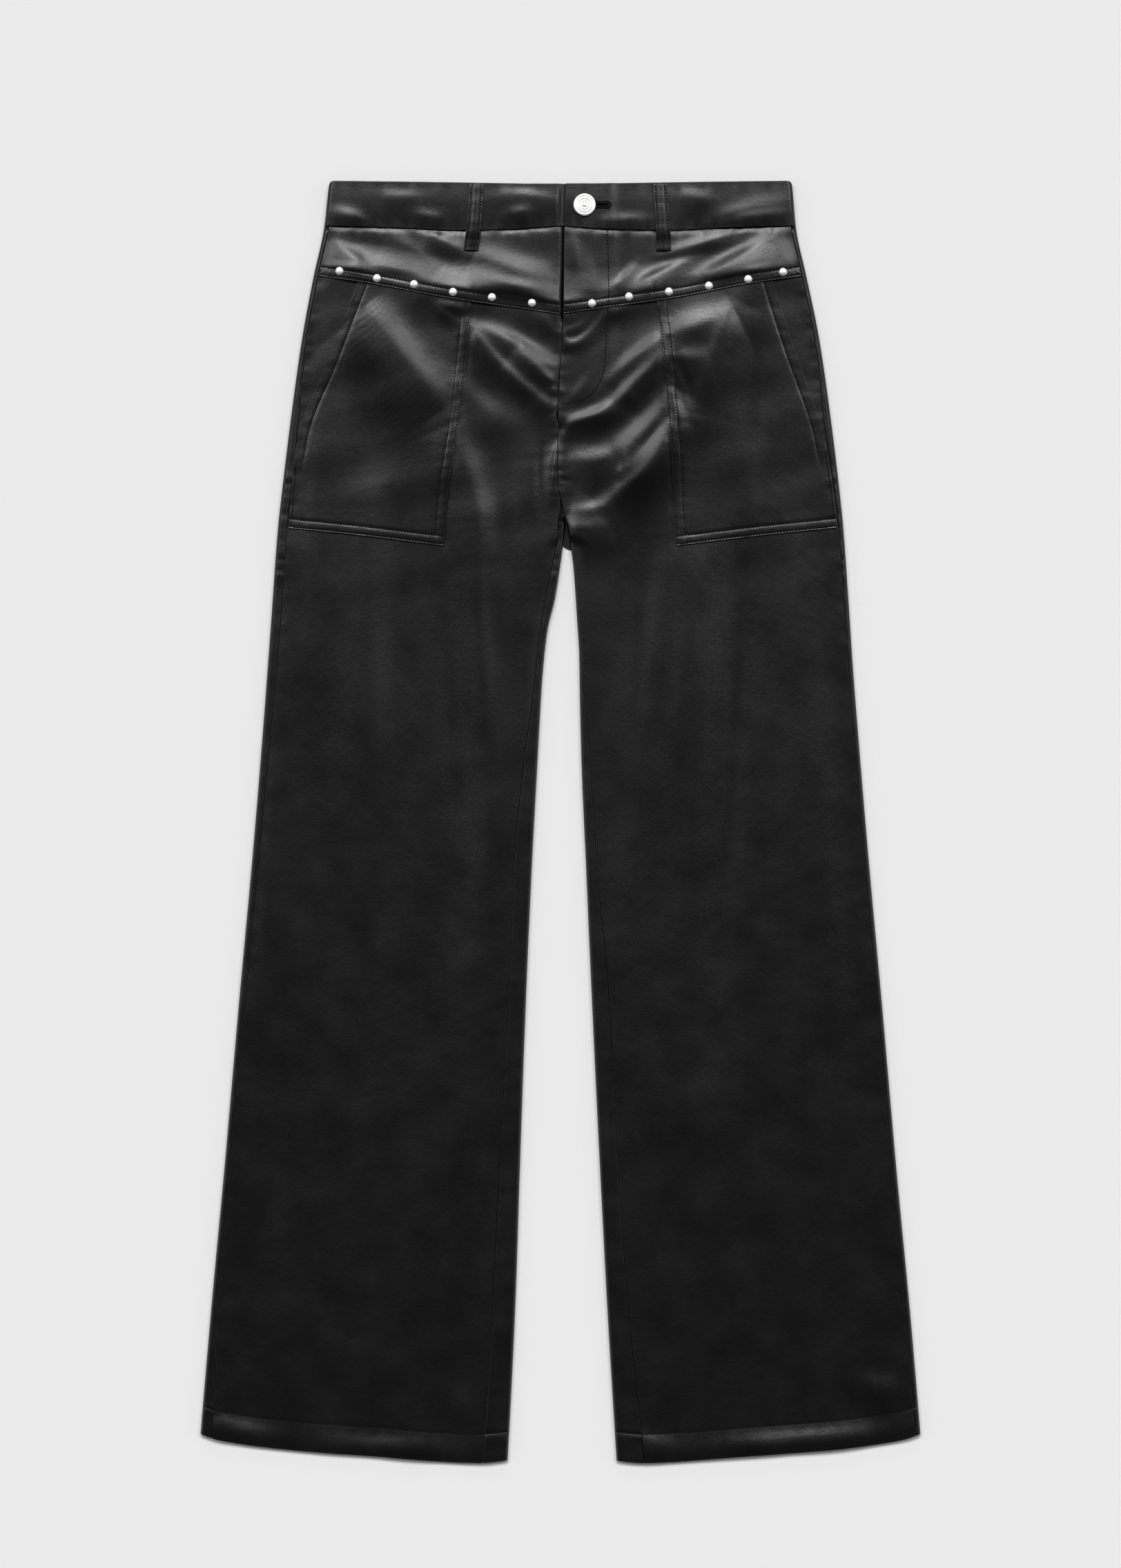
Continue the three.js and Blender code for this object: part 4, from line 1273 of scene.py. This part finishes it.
def keyhole_outline(grow, steps=20):
    """Points round the buttonhole's keyhole, grown outwards, about the button's middle."""
    eye = BUTTONHOLE["eye"] + grow
    slot = BUTTONHOLE["half_width"] + grow
    reach = BUTTONHOLE["end"] - BUTTON["x"] - BUTTONHOLE["half_width"]
    opening = math.asin(slot / eye)
    eye_angles = np.linspace(opening, 2 * math.pi - opening, steps)
    tip_angles = np.linspace(-math.pi / 2, math.pi / 2, steps // 2)
    eye_points = np.stack([eye * np.cos(eye_angles), eye * np.sin(eye_angles)], -1)
    tip_points = np.stack([reach + slot * np.cos(tip_angles), slot * np.sin(tip_angles)], -1)
    return np.concatenate([eye_points, tip_points]) + (BUTTON["x"], BUTTON["y"])


def cut_buttonhole(band):
    """Cuts the keyhole through the band's front layer."""
    outline = keyhole_outline(0)
    count = len(outline)
    low, high = 2 * BAND_ROLL - BAND_SAG - BAND_DIP + 0.1, 4 * BAND_ROLL
    points = [(x, y, z) for z in (low, high) for x, y in outline]
    faces = [tuple(range(count - 1, -1, -1)), tuple(range(count, 2 * count))]
    faces += [(k, (k + 1) % count, count + (k + 1) % count, count + k) for k in range(count)]
    cutter = make_object("buttonhole_cutter", points, faces, leather, smooth=False)
    cut = band.modifiers.new("buttonhole", "BOOLEAN")
    cut.operation = "DIFFERENCE"
    cut.object = cutter
    cut.solver = "EXACT"
    done = bpy.data.meshes.new_from_object(band.evaluated_get(bpy.context.evaluated_depsgraph_get()))
    band.modifiers.clear()
    band.data = done
    bpy.data.objects.remove(cutter)


def face_height(relief, roll=ROLL, sink=0):
    """The height of a laid panel's face as a function of x and y, for what is sewn on it."""
    return lambda x, y: 2 * roll + relief(x, y) - sink


def line_across(half, start, end, level, step=3):
    """Points from one distance out to another, with y from level(out)."""
    out = np.arange(start, end, step if end > start else -step)
    return np.stack([half.side * out, level(out)], -1)


def line_down(half, start, end, out_at, step=3):
    y = np.arange(start, end, -step)
    return np.stack([half.side * out_at(y), y], -1)


def add_stitches(name, parts):
    dress(make_object(name, *gather(parts), thread), "leather")


def add_yoke_stitches(half):
    height = face_height(yoke_relief(half))
    first, last = YOKE_ROW[half.name], YOKE_ROW["end"]
    rows = [sew(line_across(half, first, last, shifted(yoke_edge, row)), height) for row in STITCH_ROWS]
    add_stitches(f"stitches_yoke_{half.name}", rows)


def add_pocket_stitches(half):
    height = face_height(pocket_relief(half))
    inner, outer = POCKET_FOOT_ROW
    rows = []
    for row in STITCH_ROWS:
        foot = float(pocket_foot(np.array(100.0))) + row
        rows.append(sew(line_down(half, POCKET_INNER_TOP, foot, shifted(half.pocket_inner, row)), height))
        rows.append(sew(line_across(half, inner + row, outer - row, shifted(pocket_foot, row)), height))
    mouth = (
        (MOUTH_ROW["top"], MOUTH_ROW["turn"], MOUTH_ROW["inset"]),
        (MOUTH_ROW["turn"], MOUTH_ROW["end"], MOUTH_ROW["end_inset"]),
    )
    for start, end, inset in mouth:
        rows.append(sew(line_down(half, start, end, shifted(half.pocket_outer, -inset)), height))
    add_stitches(f"stitches_pocket_{half.name}", rows)


def add_hem_stitches(half):
    line = line_across(half, *HEM_ROW, shifted(hem, HEM_DEPTH))
    height = face_height(front_relief(half), sink=STITCH_SINK)
    add_stitches(f"stitches_hem_{half.name}", [sew(line, height)])


def add_fly_stitches():
    line = smooth_line(FLY_STITCHES)
    on_yoke = face_height(yoke_relief(LEFT))
    on_front = face_height(front_relief(LEFT))

    def height(x, y):
        return np.where(y > yoke_edge(x) + 0.5, on_yoke(x, y), on_front(x, y))

    add_stitches("stitches_fly", [sew(line, height)])


def add_loop_stitches(name, half, loop):
    middle = loop_middle(loop)
    side = LOOP["width"] / 2 - LOOP_ROW

    def height(x, y):
        return loop_under(half, x, y) + LOOP["wall"] - STITCH_SINK

    rows = []
    for sign in (-1, 1):
        y = np.arange(LOOP["foot"] + 9, LOOP["top"] - 1, 3.0)
        rows.append(sew(np.stack([middle(y) + sign * side, y], -1), height))
    add_stitches(f"stitches_{name}", rows)


def add_belt_loop(name, loop):
    half = RIGHT if loop[0] < 0 else LEFT
    strap = make_object(f"cloth_{name}", *wall_mesh(*loop_grids(half, loop)), leather)
    dress(strap, "leather", name)
    add_loop_stitches(name, half, loop)


def add_buttonhole_stitches():
    """Close stitches square to the keyhole's edge, all round it."""
    outlines = [keyhole_outline(grow, 120) for grow in (-BUTTONHOLE["inside"], BUTTONHOLE["stitched"])]
    inner, outer = (np.concatenate([outline, outline[:1]]) for outline in outlines)
    run = np.concatenate([[0], np.cumsum(np.hypot(*np.diff(outer, axis=0).T))])
    at = np.arange(0.3, run[-1], HOLE_PITCH)
    ends = [np.stack([np.interp(at, run, outline[:, k]) for k in (0, 1)], -1) for outline in (inner, outer)]
    height = face_height(band_relief(LEFT), BAND_ROLL)
    raised = [np.column_stack([p, height(p[:, 0], p[:, 1]) + HOLE_LIFT]) for p in ends]
    centres = (raised[0] + raised[1]) / 2
    along = raised[1] - raised[0]
    parts = [
        stitches_at(centre[None], direction[None], float(np.linalg.norm(direction)), HOLE_THREAD, 0.9)
        for centre, direction in zip(centres, along)
    ]
    add_stitches("stitches_buttonhole", parts)


def add_studs():
    """Domed studs, each sunk a little into the yoke's studded seam."""
    radius, rim, height = STUD["radius"], STUD["rim"], STUD["height"]
    angles = np.linspace(0.12, math.pi / 2, 8)[:-1]
    dome = [(radius * math.cos(angle), rim + (height - rim) * math.sin(angle)) for angle in angles]
    profile = [(0, 0), (radius * 0.9, 0), (radius, 0.12), (radius, rim), *dome, (0, height)]
    shape, faces = lathe(profile, 28)
    for i, (x, y) in enumerate(STUDS):
        node = f"stud_{i + 1}"
        half = RIGHT if x < 0 else LEFT
        level = float(face_height(yoke_relief(half), sink=0.2)(np.array([x]), np.array([y]))[0])
        points = shape + (x, y, level)
        dress(make_object(f"metal_{node}", points, faces, metal), "metal", node)


def add_button():
    """A tack button: a rolled rim, plain rings and a small raised middle."""
    low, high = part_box("button")
    base, top = low[2] / MM, high[2] / MM
    radius, shank = BUTTON["radius"], BUTTON["shank"]
    under = top - BUTTON["thick"]
    profile = [
        (0, base),
        (shank, base),
        (shank, under),
        (radius - 1.0, under),
        (radius - 0.3, under + 0.25),
        (radius, under + 0.8),
        (radius, top - 0.9),
        (radius - 0.25, top - 0.45),
        (radius - 0.8, top - 0.25),
        (radius - 2.2, top - 0.2),
        (radius - 2.5, top - 0.32),
        (radius - 2.8, top - 0.2),
        (radius - 4.6, top - 0.12),
        (radius - 4.9, top - 0.26),
        (radius - 5.3, top - 0.12),
        (radius - 6.6, top - 0.08),
        (radius - 6.9, top - 0.2),
        (radius - 7.2, top - 0.06),
        (0, top - 0.05),
    ]
    points, faces = lathe(profile, 64)
    points = points + (BUTTON["x"], BUTTON["y"], 0)
    dress(make_object("metal_button", points, faces, metal), "metal", "button")


for half in (RIGHT, LEFT):
    add_cloth("back", half, back_grids(half))
    add_cloth("front", half, front_grids(half))
    add_cloth("pocket", half, pocket_grids(half))
    add_cloth("yoke", half, yoke_grids(half))
    band = add_cloth("waistband", half, band_grids(half))
    if half is LEFT:
        cut_buttonhole(band)
    add_yoke_stitches(half)
    add_pocket_stitches(half)
    add_hem_stitches(half)

for name, loop in FRONT_LOOPS.items():
    add_belt_loop(name, loop)

add_fly_stitches()
add_buttonhole_stitches()
add_studs()
add_button()
